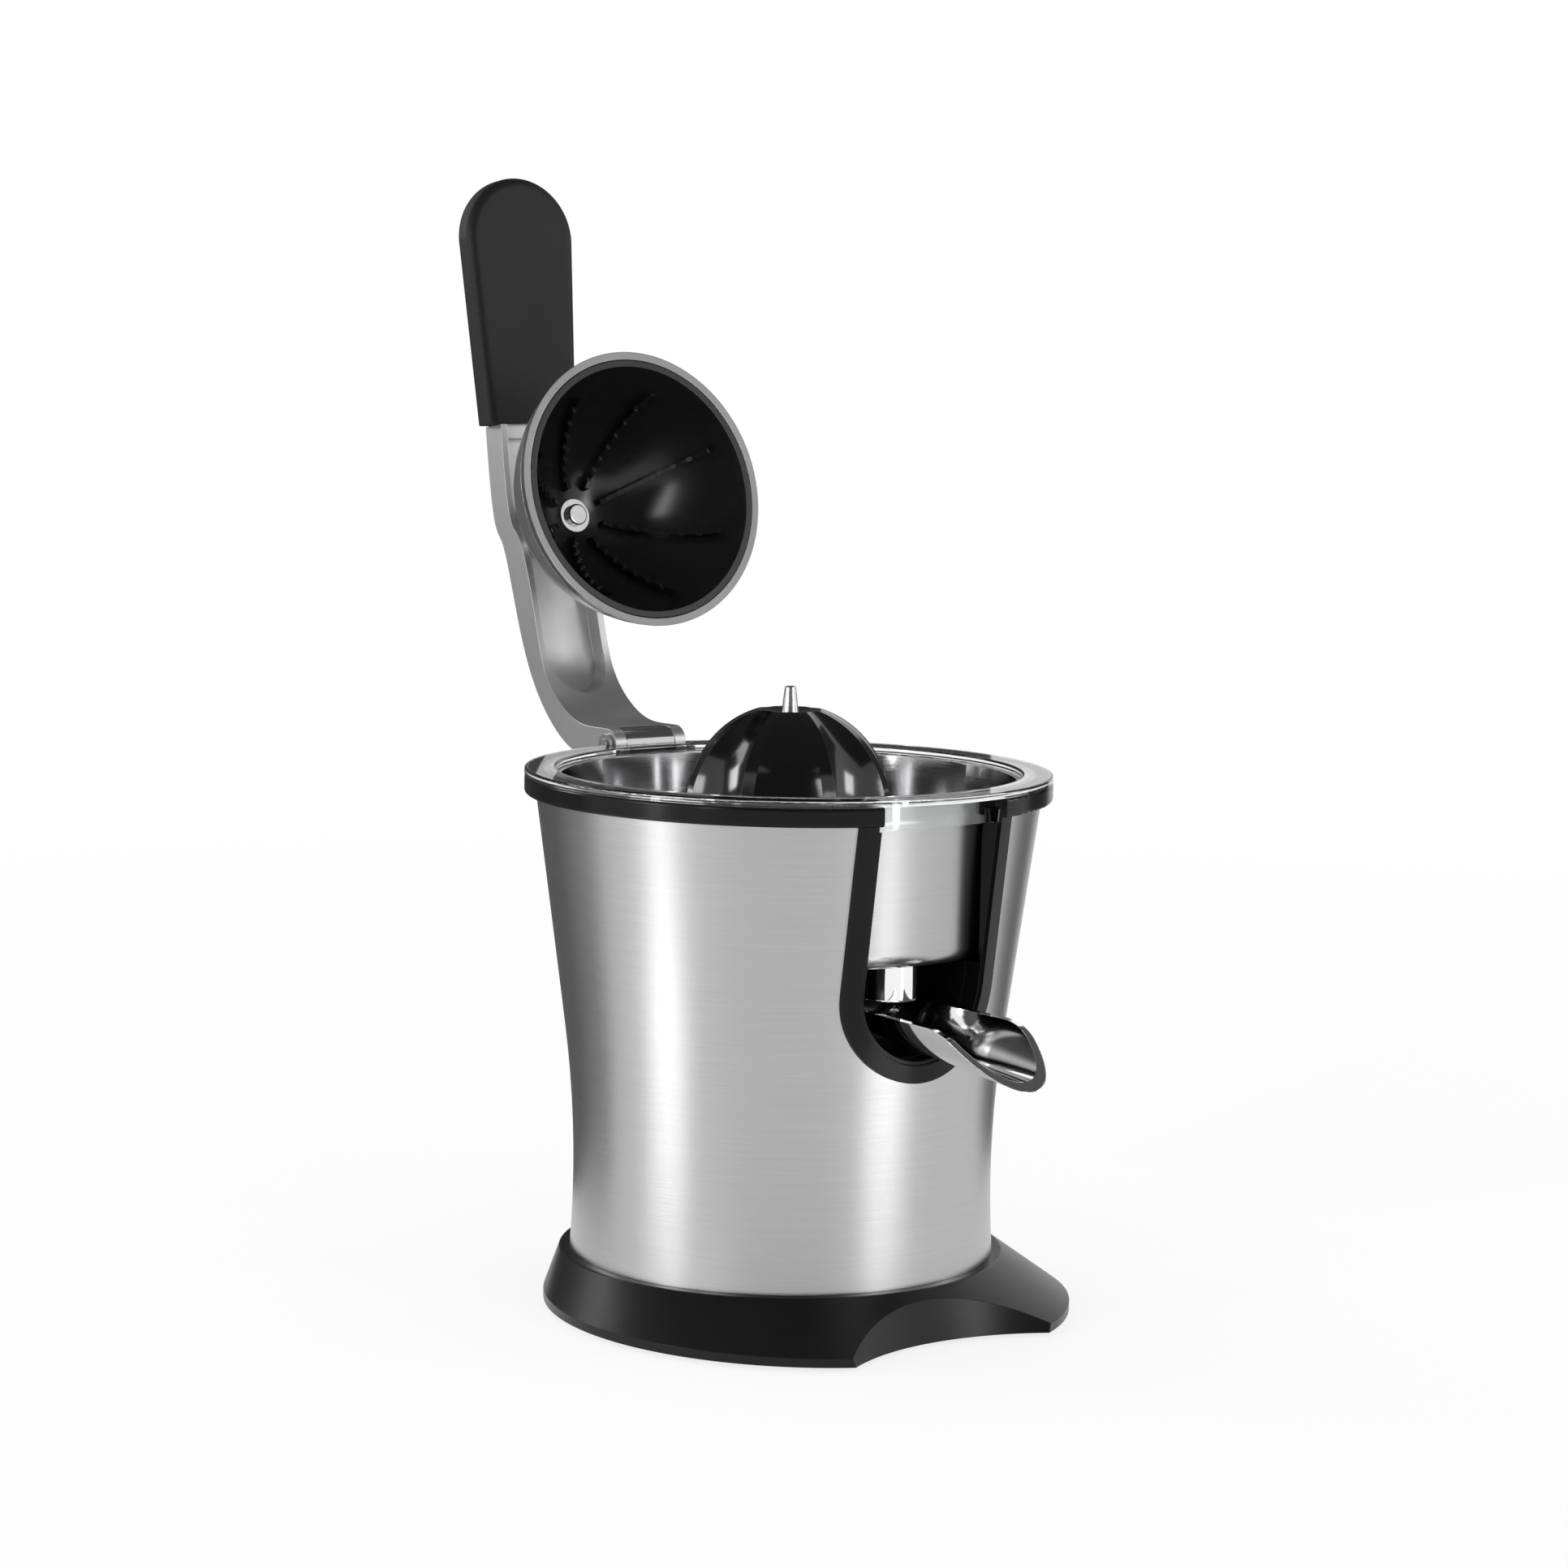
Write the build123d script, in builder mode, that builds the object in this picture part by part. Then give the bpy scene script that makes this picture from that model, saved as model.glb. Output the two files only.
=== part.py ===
from build123d import *
import math
import os

# Citrus press juicer. Lengths are in millimetres, the drive axis is Z, the spout faces -Y,
# the lever's hinge is at the rear (+Y) and the feet stand on Z = 0.

# Fits
body_gap = 0.3
seat_gap = 0.1
running_gap = 0.05

# Base, feet and bottom cover
foot_height = 1.6
foot_radius = 8.0
front_foot = (62.0, -70.0)
rear_foot = (50.0, 50.0)
base_height = 19.5
base_lip = 3.4
base_wall = 3.0
base_ledge = 3.9
base_side_flare = 14.5
base_depth_flare = 17.5
base_forward = 17.0
base_edge_fillet = 1.2
scoop_reach = 97.7
scoop_radius = 90.0
scoop_lean = 0.3
cover_thickness = 2.4
cover_boss_radius = 4.5
front_screw = (72.0, -34.0)
rear_screw = (36.0, 60.0)
screw_radius = 2.0
screw_head_radius = 3.6
screw_head_height = 2.0
screw_grip = 7.0
gland_bore = 3.3
gland_neck = 4.6
gland_flange = 6.5
gland_flange_thickness = 2.0
gland_height = 11.0

# Steel shell: a waisted wall that turns into a straight flare
shell_thickness = 0.8
shell_waist = 81.5
waist_height = 50.0
shell_curve = 420.0
flare_angle = 7.7
shell_spigot = 4.0

# Black top bezel and the frame round the front window
bezel_bottom = 197.0
bezel_height = 7.5
bezel_clearance = 1.1
bezel_lip = 3.0
bezel_web = 3.8
bezel_width = 6.7
bezel_round = 1.4
window_half_width = 27.0
window_centre = 133.2
frame_band = 6.7
frame_thickness = 1.8
frame_lip = 1.6
frame_lip_height = 0.8
frame_return_depth = 7.0
frame_corner = 6.0
frame_shoulder = 24.0

# Clear splash ring
ring_thickness = 2.5
ring_overhang = 5.3
ring_skirt = 2.0
ring_skirt_depth = 9.5
ring_notch_half = 20.2
ring_notch_clearance = 0.8

# Juice bowl, outlet and strainer
bowl_bottom = 141.0
bowl_thickness = 1.2
bowl_rim_width = 3.5
bowl_taper = 4.7
bowl_corner = 6.0
bowl_rim_drop = 0.6
chimney_radius = 12.0
chimney_top = 172.0
outlet_reach = 66.0
outlet_radius = 8.0
outlet_wall = 2.6
outlet_length = 14.0
outlet_flange = 11.0
strainer_floor = 169.0
strainer_thickness = 1.6
strainer_foot_radius = 51.0
strainer_top_radius = 62.0
strainer_top = 178.0
sieve_slots = 32
slot_width = 1.8
slot_inner = 20.0
slot_outer = 46.0
arch_count = 8
arch_width = 20.0
arch_height = 14.0

# Spout recess and tilting spout
recess_half_width = 29.4
recess_wall = 2.6
recess_back = 46.0
spout_radius = 20.0
spout_wall = 2.6
spout_slope = 5.0
spout_axis_height = 134.3
spout_rim = 125.0
spout_rear = 52.0
spout_full_reach = 121.0
spout_reach = 151.0
spout_tip_height = 105.4
spout_bend = 30.0
pivot_reach = 56.0
pivot_height = 120.0
pivot_radius = 2.0

# Deck, gearbox and drive train
deck_bottom = 130.0
deck_thickness = 4.0
deck_rib = 60.0
deck_rib_width = 3.0
plate_bottom = 92.0
plate_thickness = 3.0
plate_radius = 72.0
case_centre = (14.0, 14.0)
case_radius = 57.0
case_wall = 2.5
post_radius = 4.0
post_circle = 64.0
post_angles = (23.0, 157.0, 217.0, 323.0)
pressure_angle = 20.0
backlash = 0.16
addendum = 0.85
dedendum = 1.25
motor_module = 1.0
motor_teeth = 15
wheel_teeth = 57
drive_module = 1.25
lay_teeth = 15
final_teeth = 49
lay_angle = 35.0
wheel_bottom = 97.0
wheel_width = 6.5
final_bottom = 105.0
final_width = 8.0
final_hub_radius = 8.5
final_hub_top = 115.0
lay_pin_radius = 3.0
shaft_radius = 6.0
shaft_flats = 9.0
shaft_journal = 4.0
shaft_collar = 9.2
shaft_collar_width = 3.0
shaft_top = 221.0
shaft_round_top = 184.0
press_travel = 2.5
spring_wire = 1.1
spring_radius = 7.7
spring_turns = 3.0
bush_wall = 3.0
bush_length = 7.0
upper_bush_radius = 10.0
seal_radius = 11.0
seal_height = 4.5
switch_length = 28.0
switch_width = 11.0
switch_height = 17.0
plunger_radius = 2.5
plunger_length = 12.0

# Motor
motor_radius = 30.0
stator_bottom = 40.0
stator_top = 76.0
stator_bore = 18.0
air_gap = 0.5
bell_wall = 3.0
bell_floor = 4.0
lower_bell_bottom = 26.0
motor_shaft_radius = 4.0
coil_height = 7.0
coil_wall = 6.0

# Reamer cone
cone_radius = 42.0
cone_centre = 190.0
cone_bottom = 178.0
cone_shoulder = 13.0
cone_ribs = 8
cone_rib_width = 5.5
cone_flute = 4.4
cone_phase = 31.0
cone_dish = 1.6
cone_hub = 11.0
cone_wall = 8.0
tip_top = 238.9
tip_radius = 2.15
tip_foot_radius = 3.4
tip_stem_radius = 2.0
tip_stem_length = 5.0

# Lever hinge, arm and grip, drawn with the lever open
hinge_inset = 1.0
hinge_rise = 2.5
hinge_pin_radius = 2.5
knuckle_radius = 6.4
knuckle_half = 11.6
block_rear = 6.0
block_front = 5.6
console_drop = 7.0
console_height = 10.0
console_half = 23.0
bracket_screw_spread = 7.0
clip_radius = 4.5
clip_width = 1.0
arm_half_width = 17.0
arm_wall = 3.0
arm_floor = 4.0
arm_depth = 12.0
grip_from_hinge = (89.0, 126.0)
grip_lean = 8.0
grip_foot_half = 22.0
grip_half_width = 26.0
grip_length = 103.5
grip_thickness = 12.0
grip_round = 4.0
tang_half_width = 12.0
tang_thickness = 5.0
tang_length = 84.0
grip_screw_places = (26.0, 62.0)
channel_rise = 31.0

# Press dome
dome_from_hinge = (1.5, 103.2)
dome_tilt = 15.0
dome_radius = 56.5
dome_rim = 3.1
dome_height = 58.0
dome_crown = 40.0
dome_flare = 14.0
dome_lip = 3.4
dome_groove = 1.2
dome_shell_thickness = 2.2
insert_thickness = 2.6
insert_ribs = 8
insert_rib_width = 2.0
insert_rib_height = 4.0
insert_rib_reach = 44.0
insert_teeth = 7
insert_notch = 2.7
insert_phase = 23.0
dome_pad_radius = 10.0
dome_pad = 0.8
dome_spacer_radius = 9.0
dome_spacer_length = 12.5
dome_boss_radius = 11.0
dome_boss_length = 9.0
dome_screw_radius = 2.5
dome_screw_head = 4.5
dome_screw_head_height = 2.6
dome_washer_radius = 7.0
dome_washer_thickness = 1.2

# Heights and radii that follow from the sizes above
flare_start = waist_height + shell_curve * math.sin(math.radians(flare_angle))
flare_radius = shell_waist + shell_curve * (1 - math.cos(math.radians(flare_angle)))


def wall_radius(height):
    """Outer radius of the steel shell at a height."""
    if height < flare_start:
        return shell_waist + shell_curve - math.sqrt(shell_curve**2 - (height - waist_height) ** 2)
    return flare_radius + (height - flare_start) * math.tan(math.radians(flare_angle))


bezel_top = bezel_bottom + bezel_height
hinge_height = bezel_top + hinge_rise
console_top = hinge_height - console_drop
shell_top = console_top - body_gap
lip_inner = wall_radius(shell_top) + bezel_clearance
bezel_radius = lip_inner + bezel_lip
bezel_inner = bezel_radius - bezel_width
web_bottom = bezel_top - bezel_web
hinge_reach = bezel_radius - hinge_inset
hinge = (hinge_reach, hinge_height)
console_rear = hinge_reach + block_rear
base_top_radius = wall_radius(base_height) + base_ledge
base_half_width = base_top_radius + base_side_flare
base_half_depth = base_top_radius + base_depth_flare
ring_top = bezel_top + ring_thickness
ring_inner = bezel_inner - ring_overhang
ring_notch_reach = hinge_reach - knuckle_radius - ring_notch_clearance
skirt_outer = bezel_inner - body_gap
skirt_bottom = bezel_top - ring_skirt_depth
bowl_rim_radius = skirt_outer - ring_skirt - body_gap
bowl_wall_top = bowl_rim_radius - bowl_rim_width
bowl_floor_radius = bowl_wall_top - bowl_taper
bowl_rim_top = bezel_top - bowl_rim_drop
plate_top = plate_bottom + plate_thickness
deck_top = deck_bottom + deck_thickness
recess_inner = recess_half_width - recess_wall
frame_step = window_half_width + frame_lip
frame_outer = frame_step + frame_band
shell_opening = frame_step + body_gap
cover_top = foot_height + cover_thickness
base_inner_top = base_height - base_wall
lay_distance = drive_module * (lay_teeth + final_teeth) / 2
motor_distance = motor_module * (motor_teeth + wheel_teeth) / 2
lay_x = lay_distance * math.cos(math.radians(lay_angle))
lay_y = lay_distance * math.sin(math.radians(lay_angle))
motor_y = lay_y + math.sqrt(motor_distance**2 - lay_x**2)
bell_top = plate_bottom
bush_top = plate_bottom + bush_length
collar_bottom = final_hub_top + spring_wire * spring_turns + press_travel + body_gap
collar_top = collar_bottom + shaft_collar_width
upper_bush_bottom = collar_top + body_gap
hub_bottom = bush_top + body_gap
cone_top = cone_centre + math.sqrt(cone_radius**2 - cone_shoulder**2)
lean = math.radians(grip_lean)
grip_along = Vector(0, math.sin(lean), math.cos(lean))
grip_front = Vector(0, -math.cos(lean), math.sin(lean))
tilt = math.radians(dome_tilt)
dome_axis = Vector(0, -math.cos(tilt), math.sin(tilt))
dome_origin = Vector(0, hinge_reach + dome_from_hinge[0], hinge_height + dome_from_hinge[1])
insert_outer_radius = dome_radius - dome_rim - body_gap
insert_outer_height = dome_height - dome_shell_thickness - body_gap
insert_radius = insert_outer_radius - insert_thickness
insert_depth = insert_outer_height - insert_thickness
grip_foot = Vector(0, hinge_reach + grip_from_hinge[0], hinge_height + grip_from_hinge[1])
channel_foot = hinge_height + channel_rise

grip_plane = Plane(origin=grip_foot, x_dir=(1, 0, 0), z_dir=grip_front)
dome_plane = Plane(origin=dome_origin, x_dir=(1, 0, 0), z_dir=dome_axis)
dome_side = Plane(origin=dome_origin, x_dir=(1, 0, 0), z_dir=Vector(1, 0, 0).cross(dome_axis))
dome_line = Axis(dome_origin, dome_axis)

os.makedirs("parts", exist_ok=True)


def save(piece, name):
    """Name a finished piece and write it."""
    piece.part.label = name
    export_step(piece.part, f"parts/{name}.step")


def rod(radius, low, high, place=(0.0, 0.0), mode=Mode.ADD):
    """An upright cylinder from one height to another."""
    with Locations((place[0], place[1], low)):
        Cylinder(radius, high - low, align=(Align.CENTER, Align.CENTER, Align.MIN), mode=mode)


def cross_rod(radius, left, right, place, mode=Mode.ADD):
    """A cylinder along X, centred on a (Y, Z) place."""
    with BuildSketch(Plane.YZ.offset(left)) as outline:
        with Locations(place):
            Circle(radius)
    extrude(outline.sketch, amount=right - left, mode=mode)


def dome_rod(radius, low, high, mode=Mode.ADD):
    """A cylinder along the dome's axis, heights counted from the rim plane."""
    with BuildSketch(dome_plane.offset(low)) as outline:
        Circle(radius)
    extrude(outline.sketch, amount=high - low, mode=mode)


def turn(points, mode=Mode.ADD):
    """A piece turned about the drive axis from (radius, height) corners."""
    with BuildSketch(Plane.XZ) as profile:
        with BuildLine():
            Polyline(*points, close=True)
        make_face()
    revolve(profile.sketch, axis=Axis.Z, mode=mode)


def wall_line(shift, low, high):
    """The shell's side line, moved outwards by a shift, between two heights."""
    middle = (low + flare_start) / 2
    start, centre, bend, end = (
        (wall_radius(height) + shift, height) for height in (low, middle, flare_start, high)
    )
    ThreePointArc(start, centre, bend)
    Line(bend, end)
    return start, end


def shell_ring(inner, outer, low, high, mode=Mode.ADD):
    """A ring that follows the shell between two shifts from its outer face."""
    with BuildSketch(Plane.XZ) as profile:
        with BuildLine():
            inner_low, inner_high = wall_line(inner, low, high)
            outer_low, outer_high = wall_line(outer, low, high)
            Line(inner_low, outer_low)
            Line(inner_high, outer_high)
        make_face()
    revolve(profile.sketch, axis=Axis.Z, mode=mode)


def window_outline(half_width, top, mode=Mode.ADD):
    """A tall opening with a half-round foot, seen from the front."""
    with Locations((0, window_centre)):
        Circle(half_width, mode=mode)
    with Locations((0, (window_centre + top) / 2)):
        Rectangle(2 * half_width, top - window_centre, mode=mode)


def mirrored_places(*places):
    """Left and right copies of (X, Y) places."""
    return [(side * x, y) for x, y in places for side in (-1, 1)]


foot_places = mirrored_places(front_foot, rear_foot)
cover_screw_places = mirrored_places(front_screw, rear_screw)
post_places = [
    (post_circle * math.cos(math.radians(angle)), post_circle * math.sin(math.radians(angle)))
    for angle in post_angles
]


# Base: a flared plastic skirt, scooped out at the front for a glass
def skirt_form(inset, bottom, top):
    """The flared outline of the base, drawn in by a wall."""
    lip_top = foot_height + base_lip
    with BuildSketch(Plane.XY.offset(lip_top)) as foot_outline:
        with Locations((0, -base_forward)):
            Ellipse(base_half_width - inset, base_half_depth - inset)
    with BuildSketch(Plane.XY.offset(top)) as top_outline:
        Circle(base_top_radius - inset)
    extrude(foot_outline.sketch, amount=bottom - lip_top)
    loft([foot_outline.sketch, top_outline.sketch], ruled=True)


def scoop(extra):
    """The hollow at the front, a cone that widens upwards."""
    with Locations((0, -scoop_reach - scoop_radius, 0)):
        Cone(
            scoop_radius + extra,
            scoop_radius + extra + 2 * base_height * scoop_lean,
            2 * base_height,
            align=(Align.CENTER, Align.CENTER, Align.MIN),
            mode=Mode.SUBTRACT,
        )


spigot_radius = wall_radius(base_height + shell_spigot) - shell_thickness - seat_gap
with BuildPart() as base_cavity:
    skirt_form(base_wall, 0, base_inner_top)
    scoop(base_wall)

with BuildPart() as base_skirt:
    skirt_form(0, foot_height, base_height)
    fillet(base_skirt.edges().group_by(Axis.Z)[-1], base_edge_fillet)
    scoop(0)
    add(base_cavity.part, mode=Mode.SUBTRACT)
    rod(spigot_radius, base_inner_top, base_height + shell_spigot)
    rod(post_circle + 2 * post_radius, base_height, base_height + 2 * shell_spigot, mode=Mode.SUBTRACT)
    for place in cover_screw_places:
        rod(cover_boss_radius, cover_top, base_inner_top, place)
        rod(screw_radius, cover_top, cover_top + screw_grip, place, Mode.SUBTRACT)
    with BuildSketch(Plane.XZ):
        with Locations((0, gland_height)):
            Circle(gland_neck + seat_gap)
    extrude(amount=-base_half_depth, mode=Mode.SUBTRACT)
save(base_skirt, "base_skirt")

with BuildPart() as bottom_cover:
    with BuildSketch(Plane.XY.offset(foot_height)):
        with Locations((0, -base_forward)):
            Ellipse(base_half_width - base_wall - body_gap, base_half_depth - base_wall - body_gap)
    extrude(amount=cover_thickness)
    scoop(base_wall + body_gap)
    for place in cover_screw_places:
        rod(screw_radius + seat_gap, 0, cover_top, place, Mode.SUBTRACT)
        rod(screw_head_radius + seat_gap, 0, foot_height + screw_head_height / 2, place, Mode.SUBTRACT)
save(bottom_cover, "bottom_cover")

with BuildPart() as rubber_feet:
    for place in foot_places:
        rod(foot_radius, 0, foot_height, place)
    fillet(rubber_feet.edges().group_by(Axis.Z)[0], foot_height / 3)
save(rubber_feet, "rubber_feet")

with BuildPart() as cover_screws:
    head_top = foot_height + screw_head_height / 2
    for place in cover_screw_places:
        rod(screw_head_radius, head_top - screw_head_height / 2, head_top, place)
        rod(screw_radius - seat_gap, head_top, cover_top + screw_grip - body_gap, place)
save(cover_screws, "cover_screws")

base_slope = (base_half_depth - base_forward - base_top_radius) / (base_height - foot_height - base_lip)
base_rear = base_top_radius + base_slope * (base_height - gland_height) + abs(base_slope) * gland_flange
with BuildPart() as cord_gland:
    with BuildSketch(Plane.XZ.offset(-base_rear - gland_flange_thickness - body_gap)):
        with Locations((0, gland_height)):
            Circle(gland_flange)
    extrude(amount=gland_flange_thickness)
    with BuildSketch(Plane.XZ.offset(-base_rear - body_gap)):
        with Locations((0, gland_height)):
            Circle(gland_neck)
    extrude(amount=2 * base_wall)
    with BuildSketch(Plane.XZ):
        with Locations((0, gland_height)):
            Circle(gland_bore)
    extrude(amount=-base_half_depth, mode=Mode.SUBTRACT)
save(cord_gland, "cord_gland")

# Brushed steel shell with the tall window at the front
with BuildPart() as steel_shell:
    shell_ring(-shell_thickness, 0, base_height, shell_top)
    with BuildSketch(Plane.XZ):
        window_outline(shell_opening, bezel_top)
    extrude(amount=bezel_radius, mode=Mode.SUBTRACT)
save(steel_shell, "steel_shell")

# Black bezel: a ring over the shell's top edge that runs down round the window
with BuildPart() as frame_face:
    shell_ring(body_gap / 3, frame_thickness, window_centre - frame_outer - frame_band, web_bottom)
    with BuildSketch(Plane.XZ) as face_outline:
        window_outline(frame_outer, web_bottom)
        with Locations((0, (bezel_bottom + web_bottom) / 2)):
            Rectangle(2 * (frame_outer + frame_shoulder), web_bottom - bezel_bottom)
        corners = [
            corner
            for corner in face_outline.vertices()
            if abs(corner.Z - bezel_bottom) < seat_gap and abs(abs(corner.X) - frame_outer) < seat_gap
        ]
        fillet(corners, frame_corner)
        window_outline(frame_step, bezel_top, Mode.SUBTRACT)
    extrude(amount=bezel_radius + frame_band, mode=Mode.INTERSECT)

with BuildPart() as frame_side:
    shell_ring(
        -frame_return_depth, frame_lip_height, window_centre - frame_outer - frame_band, skirt_bottom - body_gap
    )
    with BuildSketch(Plane.XZ):
        window_outline(frame_step, bezel_top)
        window_outline(window_half_width, bezel_top, Mode.SUBTRACT)
    extrude(amount=bezel_radius + frame_band, mode=Mode.INTERSECT)
    rod(bowl_wall_top + body_gap, bowl_bottom - body_gap, bezel_top, mode=Mode.SUBTRACT)

with BuildPart() as hinge_console:
    with BuildSketch(Plane.XY.offset(console_top - console_height)):
        with Locations((0, console_rear / 2)):
            Rectangle(2 * console_half, console_rear)
    extrude(amount=console_height)
    fillet(hinge_console.edges().filter_by(Axis.Z).group_by(Axis.Y)[-1], bezel_round * 2)
    shell_ring(-bezel_radius / 2, body_gap, base_height, console_top + bezel_height, Mode.SUBTRACT)
    rod(wall_radius(base_height), 0, bezel_top, mode=Mode.SUBTRACT)

with BuildPart() as top_bezel:
    turn(
        (
            (bezel_inner, bezel_top),
            (bezel_radius, bezel_top),
            (bezel_radius, bezel_bottom),
            (lip_inner, bezel_bottom),
            (lip_inner, web_bottom),
            (bezel_inner, web_bottom),
        )
    )
    outer_edges = top_bezel.edges().filter_by(GeomType.CIRCLE).sort_by(SortBy.RADIUS)[-2:]
    fillet(outer_edges, bezel_round)
    with BuildSketch(Plane.XZ) as mouth:
        window_outline(frame_step, bezel_top)
        with Locations((0, bezel_top + bezel_height / 2)):
            Rectangle(2 * (frame_outer + frame_corner), bezel_height)
        corners = [
            corner
            for corner in mouth.vertices()
            if abs(corner.Z - bezel_top) < seat_gap and abs(abs(corner.X) - frame_step) < seat_gap
        ]
        fillet(corners, frame_corner)
    extrude(amount=bezel_radius + frame_band, mode=Mode.SUBTRACT)
    add(frame_face.part)
    add(frame_side.part)
    add(hinge_console.part)
    with BuildSketch(Plane.XY.offset(console_top)):
        with Locations((0, bezel_radius)):
            Rectangle(2 * ring_notch_half, bezel_radius)
    extrude(amount=bezel_height, mode=Mode.SUBTRACT)
    for side in (-1, 1):
        rod(screw_radius + seat_gap, 0, bezel_top, (side * bracket_screw_spread, hinge_reach), Mode.SUBTRACT)
save(top_bezel, "top_bezel")

# Clear splash ring, notched at the rear for the hinge
with BuildPart() as splash_ring:
    turn(
        (
            (ring_inner, bezel_top),
            (ring_inner, ring_top),
            (bezel_radius, ring_top),
            (bezel_radius, bezel_top),
            (skirt_outer, bezel_top),
            (skirt_outer, skirt_bottom),
            (skirt_outer - ring_skirt, skirt_bottom),
            (skirt_outer - ring_skirt, bezel_top),
        )
    )
    rim_edges = splash_ring.edges().filter_by(GeomType.CIRCLE).group_by(Axis.Z)[-1]
    fillet(rim_edges, ring_thickness / 3)
    with BuildSketch(Plane.XY.offset(skirt_bottom)):
        with Locations((0, ring_notch_reach + bezel_radius / 2)):
            Rectangle(2 * ring_notch_half, bezel_radius)
    extrude(amount=2 * ring_skirt_depth, mode=Mode.SUBTRACT)
save(splash_ring, "splash_ring")

# Spun steel juice bowl with a chimney round the drive shaft
with BuildPart() as juice_bowl:
    turn(
        (
            (chimney_radius - bowl_thickness, bowl_bottom),
            (bowl_floor_radius, bowl_bottom),
            (bowl_wall_top, bowl_rim_top - bowl_thickness),
            (bowl_rim_radius, bowl_rim_top - bowl_thickness),
            (bowl_rim_radius, bowl_rim_top),
            (bowl_wall_top - bowl_thickness, bowl_rim_top),
            (bowl_floor_radius - bowl_thickness, bowl_bottom + bowl_thickness),
            (chimney_radius, bowl_bottom + bowl_thickness),
            (chimney_radius, chimney_top),
            (chimney_radius - bowl_thickness, chimney_top),
        )
    )
    floor_edges = juice_bowl.edges().filter_by(GeomType.CIRCLE)
    fillet(
        [e for e in floor_edges if abs(e.radius - bowl_floor_radius) < seat_gap],
        bowl_corner,
    )
    fillet(
        [
            e
            for e in juice_bowl.edges().filter_by(GeomType.CIRCLE)
            if abs(e.radius - bowl_floor_radius + bowl_thickness) < seat_gap
        ],
        bowl_corner - bowl_thickness,
    )
    rod(outlet_radius + seat_gap, bowl_bottom, bowl_bottom + bowl_thickness, (0, -outlet_reach), Mode.SUBTRACT)
save(juice_bowl, "juice_bowl")

with BuildPart() as outlet_collar:
    collar_place = (0, -outlet_reach)
    rod(outlet_radius + outlet_wall, bowl_bottom - outlet_length, bowl_bottom, collar_place)
    fillet(outlet_collar.edges().group_by(Axis.Z)[0], outlet_wall / 3)
    rod(outlet_radius, bowl_bottom, bowl_bottom + bowl_thickness, collar_place)
    rod(outlet_flange, bowl_bottom + bowl_thickness, bowl_bottom + 2 * bowl_thickness, collar_place)
    rod(
        outlet_radius - outlet_wall / 2,
        bowl_bottom - outlet_length,
        bowl_bottom + 2 * bowl_thickness,
        collar_place,
        Mode.SUBTRACT,
    )
save(outlet_collar, "outlet_collar")

# Strainer basket: it stands on the bowl's floor and centres on the chimney
strainer_foot = bowl_bottom + bowl_thickness
with BuildPart() as strainer:
    turn(
        (
            (strainer_foot_radius, strainer_foot),
            (strainer_top_radius, strainer_top),
            (strainer_top_radius - strainer_thickness, strainer_top),
            (strainer_foot_radius - strainer_thickness, strainer_foot),
        )
    )
    basket_slope = (strainer_top_radius - strainer_foot_radius) / (strainer_top - strainer_foot)
    floor_edge = strainer_foot_radius + basket_slope * (strainer_floor - strainer_foot) - strainer_thickness / 2
    turn(
        (
            (chimney_radius + body_gap, strainer_floor),
            (floor_edge, strainer_floor),
            (floor_edge, strainer_floor + strainer_thickness),
            (chimney_radius + body_gap, strainer_floor + strainer_thickness),
        )
    )
    with BuildSketch(Plane.XY.offset(strainer_floor)):
        with PolarLocations((slot_inner + slot_outer) / 2, sieve_slots):
            SlotOverall(slot_outer - slot_inner, slot_width)
    extrude(amount=strainer_thickness, mode=Mode.SUBTRACT)
    for index in range(arch_count // 2):
        direction = Plane.XZ.rotated((0, 0, (index + 0.5) * 360 / arch_count))
        with BuildSketch(direction):
            with Locations((0, strainer_foot)):
                Rectangle(arch_width, 2 * arch_height)
        extrude(amount=strainer_top_radius, both=True, mode=Mode.SUBTRACT)
save(strainer, "strainer")

# Black recess behind the window and the chromed spout that tilts in it
with BuildPart() as spout_recess:
    shell_ring(
        -shell_waist, -frame_return_depth - body_gap, window_centre - frame_outer, bowl_bottom - body_gap
    )
    with BuildSketch(Plane.XZ.offset(recess_back)):
        window_outline(recess_half_width, bezel_top)
    extrude(amount=bezel_radius, mode=Mode.INTERSECT)
    with BuildSketch(Plane.XZ.offset(recess_back + recess_wall)):
        window_outline(recess_inner, bezel_top)
    extrude(amount=bezel_radius, mode=Mode.SUBTRACT)
    cross_rod(pivot_radius + running_gap, -recess_half_width, recess_half_width, (-pivot_reach, pivot_height), Mode.SUBTRACT)
save(spout_recess, "spout_recess")

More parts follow.
